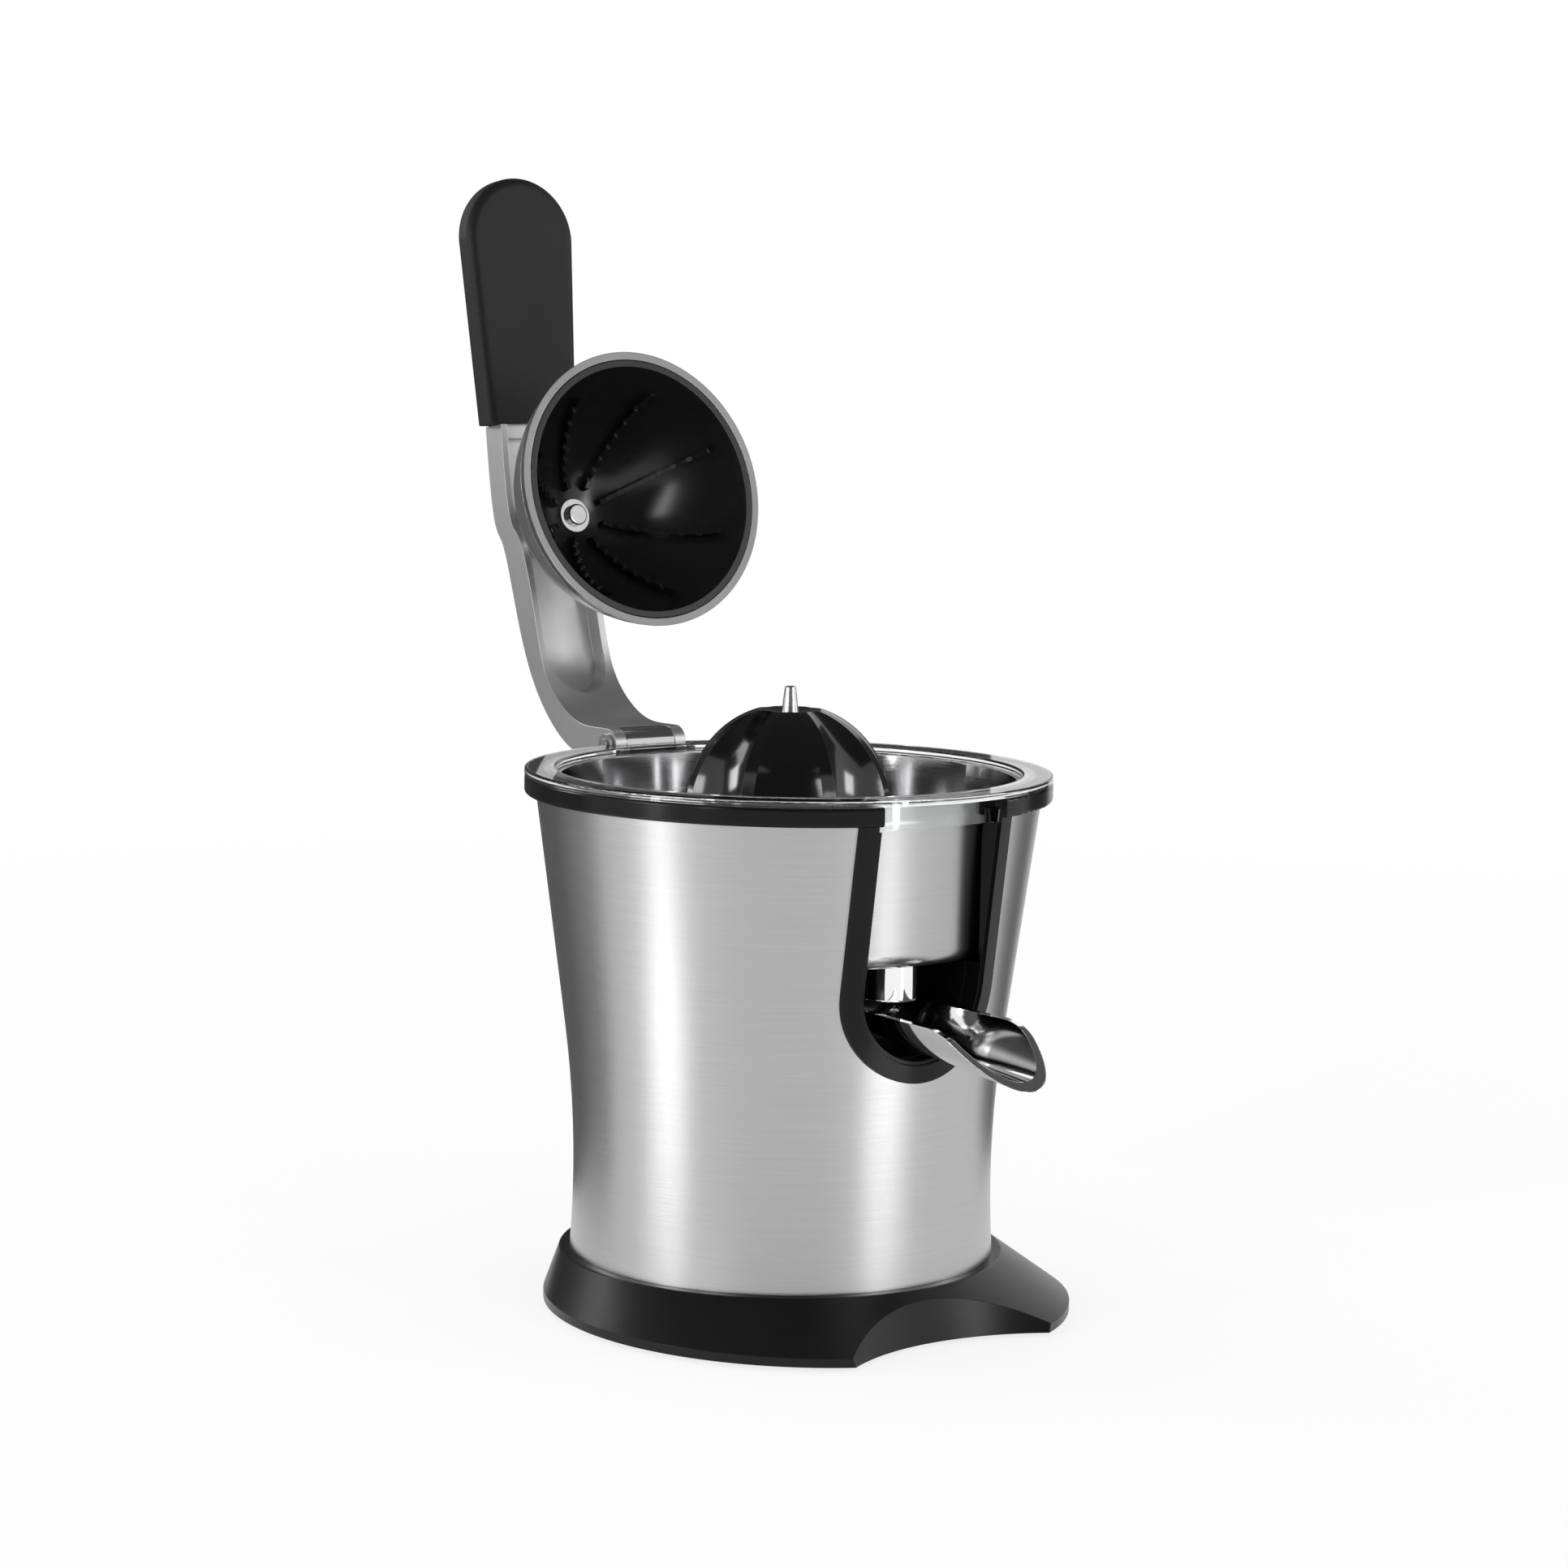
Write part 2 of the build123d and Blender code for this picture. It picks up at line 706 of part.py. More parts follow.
slope = math.radians(spout_slope)
pivot_drop = spout_axis_height - (pivot_reach - spout_rear) * math.tan(slope) - pivot_height
pivot_face = math.sqrt(spout_radius**2 - pivot_drop**2)
pivot_end = math.sqrt(recess_half_width**2 - (window_centre - pivot_height) ** 2) - body_gap
spout_line = Plane(
    origin=(0, -spout_rear, spout_axis_height),
    x_dir=(1, 0, 0),
    z_dir=(0, -math.cos(slope), -math.sin(slope)),
)
with BuildPart() as spout:
    with BuildSketch(spout_line.offset(-spout_radius)):
        Circle(spout_radius)
        Circle(spout_radius - spout_wall, mode=Mode.SUBTRACT)
    extrude(amount=2 * spout_reach)
    with BuildSketch(Plane.YZ) as spout_side:
        with BuildLine():
            FilletPolyline(
                (-spout_rear, spout_rim),
                (-spout_full_reach, spout_rim),
                (-spout_reach, spout_tip_height),
                radius=spout_bend,
            )
            Polyline(
                (-spout_reach, spout_tip_height),
                (-spout_reach, spout_tip_height - spout_radius),
                (-spout_rear, spout_tip_height - spout_radius),
                (-spout_rear, spout_rim),
            )
        make_face()
    extrude(amount=spout_radius, both=True, mode=Mode.INTERSECT)
    cross_rod(pivot_radius + seat_gap / 2, -spout_radius, spout_radius, (-pivot_reach, pivot_height), Mode.SUBTRACT)
save(spout, "spout")

with BuildPart() as spout_pins:
    for side in (-1, 1):
        inner, outer = sorted((side * (pivot_face - spout_wall), side * pivot_end))
        cross_rod(pivot_radius, inner, outer, (-pivot_reach, pivot_height))
save(spout_pins, "spout_pins")

# Deck under the bowl, gearbox case and plate, and the posts that carry them
with BuildPart() as motor_deck:
    rod(wall_radius(deck_bottom) - shell_thickness - body_gap, deck_bottom, deck_top)
    rod(deck_rib + deck_rib_width, deck_top, bowl_bottom)
    rod(deck_rib, deck_top, bowl_bottom, mode=Mode.SUBTRACT)
    with BuildSketch(Plane.XZ.offset(recess_back - body_gap)):
        window_outline(recess_half_width + body_gap, bezel_top)
    extrude(amount=bezel_radius, mode=Mode.SUBTRACT)
    rod(upper_bush_radius, deck_bottom, deck_top, mode=Mode.SUBTRACT)
save(motor_deck, "motor_deck")

with BuildPart() as gearbox_case:
    rod(case_radius, plate_top, deck_bottom, case_centre)
    rod(case_radius - case_wall, plate_top, deck_bottom - case_wall, case_centre, Mode.SUBTRACT)
    rod(upper_bush_radius, plate_top, deck_bottom, mode=Mode.SUBTRACT)
    rod(lay_pin_radius, plate_top, deck_bottom, (lay_x, lay_y), Mode.SUBTRACT)
save(gearbox_case, "gearbox_case")

with BuildPart() as gearbox_plate:
    rod(plate_radius, plate_bottom, plate_top)
    rod(shaft_journal + bush_wall, plate_bottom, plate_top, mode=Mode.SUBTRACT)
    rod(lay_pin_radius, plate_bottom, plate_top, (lay_x, lay_y), Mode.SUBTRACT)
    rod(motor_shaft_radius + body_gap, plate_bottom, plate_top, (0, motor_y), Mode.SUBTRACT)
save(gearbox_plate, "gearbox_plate")

with BuildPart() as chassis_posts:
    for place in post_places:
        rod(post_radius, base_height, plate_bottom, place)
save(chassis_posts, "chassis_posts")


def gear_points(teeth, module, tooth_angle):
    """Corners of an involute gear with one tooth centred on an angle in degrees."""
    pitch_radius = module * teeth / 2
    base_radius = pitch_radius * math.cos(math.radians(pressure_angle))
    tip = pitch_radius + addendum * module
    root = pitch_radius - dedendum * module
    pitch_pressure = math.radians(pressure_angle)
    half_tooth = math.pi / (2 * teeth) - backlash / (2 * pitch_radius)
    half_base = half_tooth + math.tan(pitch_pressure) - pitch_pressure

    def flank(radius):
        pressure = math.acos(min(1.0, base_radius / radius))
        return half_base - math.tan(pressure) + pressure

    start = max(base_radius, root)
    radii = [start + (tip - start) * step / 4 for step in range(5)]
    side = [(root, flank(start))] + [(radius, flank(radius)) for radius in radii if radius > root]
    points = []
    for index in range(teeth):
        centre = math.radians(tooth_angle) + 2 * math.pi * index / teeth
        ahead = [(radius, centre + angle) for radius, angle in reversed(side)]
        behind = [(radius, centre - angle) for radius, angle in side]
        points += [(radius * math.cos(a), radius * math.sin(a)) for radius, a in behind + ahead]
    return points


def gear(teeth, module, tooth_angle, low, high, place=(0.0, 0.0)):
    """A straight spur gear between two heights."""
    with BuildSketch(Plane((place[0], place[1], low))) as outline:
        with BuildLine():
            Polyline(*gear_points(teeth, module, tooth_angle), close=True)
        make_face()
    extrude(outline.sketch, amount=high - low)


lay_place = (lay_x, lay_y)
motor_place = (0.0, motor_y)
to_motor = math.degrees(math.atan2(motor_y - lay_y, -lay_x))

# Drive train: motor pinion, lay gear and final gear
with BuildPart() as motor_pinion:
    gear(
        motor_teeth, motor_module, to_motor + 180 + 180 / motor_teeth, wheel_bottom, wheel_bottom + wheel_width, motor_place
    )
    rod(motor_shaft_radius, wheel_bottom, wheel_bottom + wheel_width, motor_place, Mode.SUBTRACT)
save(motor_pinion, "motor_pinion")

with BuildPart() as lay_gear:
    gear(wheel_teeth, motor_module, to_motor, wheel_bottom, wheel_bottom + wheel_width, lay_place)
    gear(
        lay_teeth,
        drive_module,
        lay_angle + 180,
        wheel_bottom + wheel_width,
        final_bottom + final_width + 1,
        lay_place,
    )
    rod(lay_pin_radius + running_gap, plate_top, deck_bottom, lay_place, Mode.SUBTRACT)
save(lay_gear, "lay_gear")

with BuildPart() as lay_pin:
    rod(lay_pin_radius - running_gap / 2, plate_bottom, deck_bottom - seat_gap, lay_place)
save(lay_pin, "lay_pin")

with BuildPart() as final_gear:
    gear(final_teeth, drive_module, lay_angle + 180 / final_teeth, final_bottom, final_bottom + final_width)
    rod(final_hub_radius, hub_bottom, final_hub_top)
    with BuildSketch(Plane.XY.offset(hub_bottom)):
        RegularPolygon((shaft_flats / 2 + running_gap), 6, major_radius=False)
    extrude(amount=final_hub_top - hub_bottom, mode=Mode.SUBTRACT)
save(final_gear, "final_gear")

hex_bottom = hub_bottom + press_travel + body_gap
hex_top = final_hub_top + press_travel + body_gap
shaft_bottom = plate_bottom + press_travel + 2 * body_gap
with BuildPart() as drive_shaft:
    rod(shaft_journal, shaft_bottom, hex_bottom)
    with BuildSketch(Plane.XY.offset(hex_bottom)):
        RegularPolygon(shaft_flats / 2, 6, major_radius=False)
    extrude(amount=hex_top - hex_bottom)
    rod(shaft_radius, hex_top, shaft_round_top)
    rod(shaft_collar, collar_bottom, collar_top)
    with BuildSketch(Plane.XY.offset(shaft_round_top)):
        RegularPolygon(shaft_flats / 2, 6, major_radius=False)
    extrude(amount=shaft_top - shaft_round_top)
save(drive_shaft, "drive_shaft")

spring_height = collar_bottom - final_hub_top - spring_wire - 2 * seat_gap
with BuildPart() as return_spring:
    with BuildLine(Plane.XY.offset(final_hub_top + spring_wire / 2 + seat_gap)) as spring_path:
        Helix(spring_height / spring_turns, spring_height, spring_radius)
    with BuildSketch(Plane(spring_path.line @ 0, z_dir=spring_path.line % 0)):
        Circle(spring_wire / 2)
    sweep(path=spring_path.line, is_frenet=True)
save(return_spring, "return_spring")

with BuildPart() as lower_bush:
    rod(shaft_journal + bush_wall - running_gap / 2, plate_bottom, bush_top)
    rod(shaft_journal + running_gap, plate_bottom, bush_top, mode=Mode.SUBTRACT)
save(lower_bush, "lower_bush")

with BuildPart() as upper_bush:
    rod(upper_bush_radius - running_gap / 2, upper_bush_bottom, deck_top)
    rod(shaft_radius + running_gap, upper_bush_bottom, deck_top, mode=Mode.SUBTRACT)
save(upper_bush, "upper_bush")

with BuildPart() as shaft_seal:
    rod(seal_radius, deck_top, deck_top + seal_height)
    fillet(shaft_seal.edges().group_by(Axis.Z)[-1], seal_height / 4)
    rod(shaft_radius + running_gap, deck_top, deck_top + seal_height, mode=Mode.SUBTRACT)
save(shaft_seal, "shaft_seal")

with BuildPart() as start_switch:
    with Locations((0, 0, plate_bottom)):
        Box(
            switch_length,
            switch_width,
            switch_height,
            align=(Align.CENTER, Align.CENTER, Align.MAX),
        )
    rod(
        plunger_radius + running_gap,
        plate_bottom - plunger_length - press_travel - body_gap,
        plate_bottom,
        mode=Mode.SUBTRACT,
    )
save(start_switch, "start_switch")

with BuildPart() as switch_plunger:
    rod(plunger_radius, shaft_bottom - body_gap - plunger_length, shaft_bottom - body_gap)
save(switch_plunger, "switch_plunger")

# Motor, hung under the gearbox plate
with BuildPart() as motor_stator:
    rod(motor_radius, stator_bottom, stator_top, motor_place)
    rod(stator_bore, stator_bottom, stator_top, motor_place, Mode.SUBTRACT)
save(motor_stator, "motor_stator")

with BuildPart() as motor_coils:
    for low in (stator_bottom - coil_height, stator_top):
        rod(stator_bore + coil_wall, low, low + coil_height, motor_place)
        rod(stator_bore, low, low + coil_height, motor_place, Mode.SUBTRACT)
save(motor_coils, "motor_coils")

with BuildPart() as motor_lower_bell:
    rod(motor_radius, lower_bell_bottom, stator_bottom, motor_place)
    rod(motor_radius - bell_wall, lower_bell_bottom + bell_floor, stator_bottom, motor_place, Mode.SUBTRACT)
    rod(motor_shaft_radius + running_gap, lower_bell_bottom, stator_bottom, motor_place, Mode.SUBTRACT)
save(motor_lower_bell, "motor_lower_bell")

with BuildPart() as motor_upper_bell:
    rod(motor_radius, stator_top, bell_top, motor_place)
    rod(motor_radius - bell_wall, stator_top, bell_top - bell_floor, motor_place, Mode.SUBTRACT)
    rod(motor_shaft_radius + running_gap, stator_top, bell_top, motor_place, Mode.SUBTRACT)
save(motor_upper_bell, "motor_upper_bell")

with BuildPart() as motor_rotor:
    rod(stator_bore - air_gap, stator_bottom, stator_top, motor_place)
    rod(motor_shaft_radius, stator_bottom, stator_top, motor_place, Mode.SUBTRACT)
save(motor_rotor, "motor_rotor")

with BuildPart() as motor_shaft:
    rod(motor_shaft_radius, lower_bell_bottom, wheel_bottom + wheel_width + 1, motor_place)
save(motor_shaft, "motor_shaft")


# Reamer cone: eight ribs with hollow flutes between them, and a metal tip
def cone_outline(height):
    """The ribbed outline of the cone at a height."""
    rise = max(0.0, height - cone_centre)
    rib_radius = math.sqrt(cone_radius**2 - rise**2)
    share = rib_radius / cone_radius
    rib_half = math.asin(cone_rib_width / 2 * (0.4 + 0.6 * share) / rib_radius)
    flute_radius = rib_radius - cone_flute * share
    pitch = 2 * math.pi / cone_ribs

    def spot(radius, angle):
        return (radius * math.cos(angle), radius * math.sin(angle))

    with BuildSketch(Plane.XY.offset(height)) as outline:
        with BuildLine():
            for index in range(cone_ribs):
                centre = math.radians(cone_phase) + index * pitch
                Line(spot(rib_radius, centre - rib_half), spot(rib_radius, centre + rib_half))
                ThreePointArc(
                    spot(rib_radius, centre + rib_half),
                    spot(flute_radius, centre + pitch / 2),
                    spot(rib_radius, centre + pitch - rib_half),
                )
        make_face()
    return outline.sketch


cone_steps = (0.0, 0.3, 0.55, 0.75, 0.9, 1.0)
cone_levels = [cone_bottom] + [cone_centre + (cone_top - cone_centre) * step for step in cone_steps]
tip_foot = cone_top - cone_dish
cone_roof = cone_centre + math.sqrt((cone_radius - cone_wall) ** 2 - cone_hub**2)
with BuildPart() as reamer_cone:
    loft([cone_outline(level) for level in cone_levels])
    turn(
        (
            (0, tip_foot),
            (tip_foot_radius, tip_foot),
            (cone_shoulder + cone_dish, cone_top + cone_dish / 3),
            (0, cone_top + cone_dish / 3),
        ),
        Mode.SUBTRACT,
    )
    with BuildSketch(Plane.XZ):
        with BuildLine():
            Polyline(
                (cone_hub, cone_roof),
                (cone_hub, cone_bottom),
                (cone_radius - cone_wall, cone_bottom),
                (cone_radius - cone_wall, cone_centre),
            )
            RadiusArc((cone_radius - cone_wall, cone_centre), (cone_hub, cone_roof), -(cone_radius - cone_wall))
        make_face()
    revolve(axis=Axis.Z, mode=Mode.SUBTRACT)
    rod(shaft_radius + body_gap, cone_bottom, shaft_round_top, mode=Mode.SUBTRACT)
    with BuildSketch(Plane.XY.offset(cone_bottom)):
        RegularPolygon(shaft_flats / 2 + seat_gap, 6, major_radius=False)
    extrude(amount=shaft_top + seat_gap - cone_bottom, mode=Mode.SUBTRACT)
    rod(tip_stem_radius, tip_foot - tip_stem_length, cone_top, mode=Mode.SUBTRACT)
save(reamer_cone, "reamer_cone")

with BuildPart() as cone_tip:
    turn(((0, tip_foot), (tip_foot_radius, tip_foot), (tip_radius, tip_top), (0, tip_top)))
    fillet(cone_tip.edges().group_by(Axis.Z)[-1], tip_radius / 4)
    rod(tip_stem_radius - running_gap, tip_foot - tip_stem_length, tip_foot)
save(cone_tip, "cone_tip")

# Lever hinge: a knuckle block on the bezel's console, its pin and retaining rings
with BuildPart() as hinge_bracket:
    with BuildSketch(Plane.YZ):
        with Locations(hinge):
            Circle(knuckle_radius)
        with Locations((hinge_reach + (block_rear - block_front) / 2, (console_top + hinge_height) / 2)):
            Rectangle(block_rear + block_front, hinge_height - console_top)
    extrude(amount=knuckle_half, both=True)
    cross_rod(hinge_pin_radius, -knuckle_half, knuckle_half, hinge, Mode.SUBTRACT)
    for side in (-1, 1):
        rod(
            screw_radius,
            console_top,
            hinge_height - hinge_pin_radius - body_gap,
            (side * bracket_screw_spread, hinge_reach),
            Mode.SUBTRACT,
        )
save(hinge_bracket, "hinge_bracket")

clip_place = arm_half_width + body_gap
with BuildPart() as hinge_pin:
    cross_rod(hinge_pin_radius - running_gap / 2, -clip_place - 2 * clip_width, clip_place + 2 * clip_width, hinge)
save(hinge_pin, "hinge_pin")

with BuildPart() as hinge_clips:
    for side in (-1, 1):
        inner, outer = sorted((side * clip_place, side * (clip_place + clip_width)))
        cross_rod(clip_radius, inner, outer, hinge)
        cross_rod(hinge_pin_radius, inner, outer, hinge, Mode.SUBTRACT)
save(hinge_clips, "hinge_clips")

console_bottom = console_top - console_height
with BuildPart() as bracket_screws:
    for side in (-1, 1):
        place = (side * bracket_screw_spread, hinge_reach)
        rod(screw_head_radius, console_bottom - screw_head_height, console_bottom, place)
        rod(screw_radius - seat_gap, console_bottom, hinge_height - hinge_pin_radius - 2 * body_gap, place)
save(bracket_screws, "bracket_screws")

# Lever arm: a die-cast channel that rises from the hinge fork to the grip
arm_back_end = grip_foot - grip_front * arm_depth / 2 - grip_along * body_gap
arm_front_end = grip_foot + grip_front * arm_depth / 2 - grip_along * body_gap
arm_back_bends = ((27.5, -3.8), (47.5, 10.5), (67.0, 42.5), (80.2, 75.5))
arm_front_bends = ((21.9, 7.4), (35.4, 13.8), (46.6, 25.0), (55.2, 47.8), (67.6, 79.0))
lug_radius = knuckle_radius + seat_gap


def from_hinge(points):
    """(Y, Z) places counted from the hinge axis."""
    return [(hinge_reach + y, hinge_height + z) for y, z in points]


def arm_back_line():
    start = (hinge_reach + lug_radius / 4, hinge_height - lug_radius)
    end = (arm_back_end.Y, arm_back_end.Z)
    Spline(start, *from_hinge(arm_back_bends), end, tangents=[(1, 0), (math.sin(lean), math.cos(lean))])
    return start


def arm_front_line(shift):
    start = (hinge_reach + shift, hinge_height + lug_radius)
    middle = [(y + shift, z) for y, z in from_hinge(arm_front_bends)]
    end = (arm_front_end.Y + shift, arm_front_end.Z)
    Spline(start, *middle, end, tangents=[(1, 0), (math.sin(lean), math.cos(lean))])
    return start, end


with BuildPart() as arm_channel:
    with BuildSketch(Plane.YZ):
        with BuildLine():
            front_start, front_end = arm_front_line(arm_depth - arm_floor)
            Polyline(
                front_end,
                (front_end[0] - 4 * arm_depth, front_end[1]),
                (front_start[0] - 4 * arm_depth, front_start[1]),
                front_start,
            )
        make_face()
    extrude(amount=arm_half_width - arm_wall, both=True)
    with BuildSketch(Plane.XZ):
        with Locations((0, channel_foot)):
            Circle(arm_half_width - arm_wall)
        with Locations((0, channel_foot + grip_length / 2)):
            Rectangle(2 * (arm_half_width - arm_wall), grip_length)
    extrude(amount=-2 * bezel_radius, mode=Mode.INTERSECT)

pad_face = -dome_height - dome_pad
boss_front = pad_face - dome_spacer_length
with BuildPart() as lever_arm:
    with BuildSketch(Plane.YZ):
        with BuildLine():
            back_start = arm_back_line()
            front_start, front_end = arm_front_line(0)
            Line(back_start, front_start)
            Line(front_end, (arm_back_end.Y, arm_back_end.Z))
        make_face()
        with Locations(hinge):
            Circle(lug_radius)
    extrude(amount=arm_half_width, both=True)
    add(arm_channel.part, mode=Mode.SUBTRACT)
    dome_rod(dome_boss_radius, boss_front - dome_boss_length, boss_front)
    with BuildSketch(Plane.YZ):
        with Locations(hinge):
            Circle(knuckle_radius + 2 * body_gap)
        with Locations((hinge_reach, hinge_height)):
            Rectangle(
                2 * (block_rear + body_gap), 2 * knuckle_radius, align=(Align.CENTER, Align.MAX), rotation=0
            )
        with Locations((hinge_reach + block_rear / 3, hinge_height)):
            Rectangle(4 * knuckle_radius, 4 * knuckle_radius, align=(Align.MAX, Align.CENTER))
    extrude(amount=knuckle_half + body_gap, both=True, mode=Mode.SUBTRACT)
    cross_rod(hinge_pin_radius + running_gap, -arm_half_width, arm_half_width, hinge, Mode.SUBTRACT)
    with BuildSketch(grip_plane.offset(-tang_thickness / 2)):
        with Locations((0, -arm_depth / 2)):
            Rectangle(2 * tang_half_width, tang_length + arm_depth / 2, align=(Align.CENTER, Align.MIN))
    extrude(amount=tang_thickness)
    dome_rod(dome_screw_radius, boss_front - arm_depth / 2, boss_front, Mode.SUBTRACT)
    for along in grip_screw_places:
        with BuildSketch(grip_plane):
            with Locations((0, along)):
                Circle(screw_radius)
        extrude(amount=tang_thickness, both=True, mode=Mode.SUBTRACT)
save(lever_arm, "lever_arm")

# Soft black grip over the arm's tang, with its screws from behind
with BuildPart() as lever_grip:
    with BuildSketch(grip_plane.offset(-grip_thickness / 2)):
        with BuildLine():
            crown = grip_length - grip_half_width
            Line((-grip_foot_half, 0), (grip_foot_half, 0))
            Line((grip_foot_half, 0), (grip_half_width, crown))
            ThreePointArc((grip_half_width, crown), (0, grip_length), (-grip_half_width, crown))
            Line((-grip_half_width, crown), (-grip_foot_half, 0))
        make_face()
    extrude(amount=grip_thickness)
    rims = [
        edge
        for edge in lever_grip.edges()
        if abs(abs(grip_plane.to_local_coords(edge @ 0.5).Z) - grip_thickness / 2) < seat_gap
        and grip_plane.to_local_coords(edge @ 0.5).Y > seat_gap
    ]
    fillet(rims, grip_round)
    with BuildSketch(grip_plane.offset(-tang_thickness / 2 - seat_gap)):
        Rectangle(
            2 * (tang_half_width + seat_gap), tang_length + seat_gap, align=(Align.CENTER, Align.MIN)
        )
    extrude(amount=tang_thickness + 2 * seat_gap, mode=Mode.SUBTRACT)
    for along in grip_screw_places:
        with BuildSketch(grip_plane.offset(-grip_thickness / 2)) as screw_holes:
            with Locations((0, along)):
                Circle(screw_radius + seat_gap)
        extrude(amount=grip_thickness / 2, mode=Mode.SUBTRACT)
        with BuildSketch(grip_plane.offset(-grip_thickness / 2)) as head_holes:
            with Locations((0, along)):
                Circle(screw_head_radius + seat_gap)
        extrude(amount=screw_head_height, mode=Mode.SUBTRACT)
save(lever_grip, "lever_grip")

with BuildPart() as grip_screws:
    for along in grip_screw_places:
        with BuildSketch(grip_plane.offset(-grip_thickness / 2 + seat_gap)):
            with Locations((0, along)):
                Circle(screw_head_radius)
        extrude(amount=screw_head_height - seat_gap)
        with BuildSketch(grip_plane.offset(-grip_thickness / 2 + screw_head_height)):
            with Locations((0, along)):
                Circle(screw_radius - seat_gap)
        extrude(amount=grip_thickness / 2 - screw_head_height + tang_thickness / 2)
save(grip_screws, "grip_screws")


# Press dome: silver shell, black ribbed insert, and the screw that holds both to the arm
def dome_arcs(radius, height):
    """Crown and side radii of a deep dome, and the place where the two arcs meet."""
    flare = math.radians(dome_flare)
    crown_radius = dome_crown - dome_height + height
    crown_depth = height - crown_radius
    narrowing = radius * math.cos(flare) - crown_depth * math.sin(flare) - crown_radius
    side_radius = (radius**2 + height**2 - 2 * height * crown_radius) / (2 * narrowing)
    side_centre = Vector(radius - side_radius * math.cos(flare), side_radius * math.sin(flare))
    crown_centre = Vector(0, -crown_depth)
    joint = crown_centre + (crown_centre - side_centre).normalized() * crown_radius
    return crown_radius, crown_centre, side_radius, side_centre, joint


def half_dome(radius, height, mode=Mode.ADD):
    """Half the section of a deep dome below its rim plane: a side arc that runs into a crown arc."""
    flare = math.radians(dome_flare)
    joint = dome_arcs(radius, height)[-1]
    with BuildLine() as outline:
        side_arc = TangentArc((radius, 0), joint, tangent=(-math.sin(flare), -math.cos(flare)))
        TangentArc(joint, (0, -height), tangent=side_arc % 1)
        Polyline((0, -height), (0, 0), (radius, 0))
    make_face(outline.edges(), mode=mode)


def dome_depth(radius, height, reach):
    """Height of a dome's surface at a distance from its axis, counted from the rim plane."""
    crown_radius, crown_centre, side_radius, side_centre, joint = dome_arcs(radius, height)
    if reach < joint.X:
        return crown_centre.Y - math.sqrt(crown_radius**2 - reach**2)
    return side_centre.Y - math.sqrt(side_radius**2 - (reach - side_centre.X) ** 2)


def cup_section(outer_radius, outer_height, inner_radius, inner_height, hole):
    """Half the section of a deep cup, open at the rim plane, with a hole at its crown."""
    half_dome(outer_radius, outer_height)
    half_dome(inner_radius, inner_height, Mode.SUBTRACT)
    with Locations((hole, 0)):
        Rectangle(outer_radius, outer_height, align=(Align.MIN, Align.MAX), mode=Mode.INTERSECT)


screw_hole = dome_screw_radius + seat_gap
with BuildPart() as dome_shell:
    with BuildSketch(dome_side):
        cup_section(
            dome_radius, dome_height, dome_radius - dome_rim, dome_height - dome_shell_thickness, screw_hole
        )
        with Locations((screw_hole, pad_face)):
            Rectangle(
                dome_pad_radius - screw_hole, dome_pad + dome_shell_thickness, align=(Align.MIN, Align.MIN)
            )
        with Locations((dome_radius - dome_lip * math.tan(math.radians(dome_flare)), -dome_lip)):
            Rectangle(2 * dome_groove, dome_groove, align=(Align.CENTER, Align.MAX), mode=Mode.SUBTRACT)
    revolve(axis=dome_line)
save(dome_shell, "dome_shell")

washer_seat = -insert_depth - seat_gap * 2
fin_foot = dome_washer_radius + insert_rib_height
fin_radius = insert_radius - insert_rib_height
fin_depth = insert_depth - insert_rib_height
tooth_pitch = (insert_rib_reach - fin_foot) / (insert_teeth + 1)
with BuildPart() as insert_fins:
    with BuildSketch(dome_side):
        cup_section(
            insert_radius + insert_thickness / 2,
            insert_depth + insert_thickness / 2,
            fin_radius,
            fin_depth,
            fin_foot,
        )
        for index in range(insert_teeth):
            reach = fin_foot + (index + 1) * tooth_pitch
            with Locations((reach, dome_depth(fin_radius, fin_depth, reach))):
                Rectangle(insert_notch, insert_notch, rotation=45, mode=Mode.SUBTRACT)
    revolve(axis=dome_line)
    with BuildSketch(dome_plane):
        with PolarLocations(0, insert_ribs, start_angle=insert_phase):
            Rectangle(dome_radius, insert_rib_width, align=(Align.MIN, Align.CENTER))
        Circle(insert_rib_reach, mode=Mode.INTERSECT)
    extrude(amount=-dome_height, mode=Mode.INTERSECT)

with BuildPart() as dome_insert:
    with BuildSketch(dome_side):
        cup_section(insert_outer_radius, insert_outer_height, insert_radius, insert_depth, screw_hole)
        with Locations((0, washer_seat)):
            Rectangle(
                dome_washer_radius + 2 * seat_gap,
                insert_rib_height,
                align=(Align.MIN, Align.MIN),
                mode=Mode.SUBTRACT,
            )
    revolve(axis=dome_line)
    add(insert_fins.part)
save(dome_insert, "dome_insert")

with BuildPart() as dome_washer:
    dome_rod(dome_washer_radius, washer_seat, washer_seat + dome_washer_thickness)
    dome_rod(dome_screw_radius + seat_gap, washer_seat, 0, Mode.SUBTRACT)
save(dome_washer, "dome_washer")

screw_seat = washer_seat + dome_washer_thickness
with BuildPart() as dome_screw:
    dome_rod(dome_screw_head, screw_seat, screw_seat + dome_screw_head_height)
    fillet(dome_screw.edges().filter_by(GeomType.CIRCLE).sort_by_distance(dome_origin)[0], dome_screw_head_height / 3)
    dome_rod(dome_screw_radius - running_gap, boss_front - arm_depth / 2 + body_gap, screw_seat)
save(dome_screw, "dome_screw")

with BuildPart() as dome_spacer:
    dome_rod(dome_spacer_radius, boss_front, pad_face)
    dome_rod(dome_screw_radius + seat_gap, boss_front, pad_face, Mode.SUBTRACT)
save(dome_spacer, "dome_spacer")
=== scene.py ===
import bpy
import math
from mathutils import Euler, Matrix, Vector


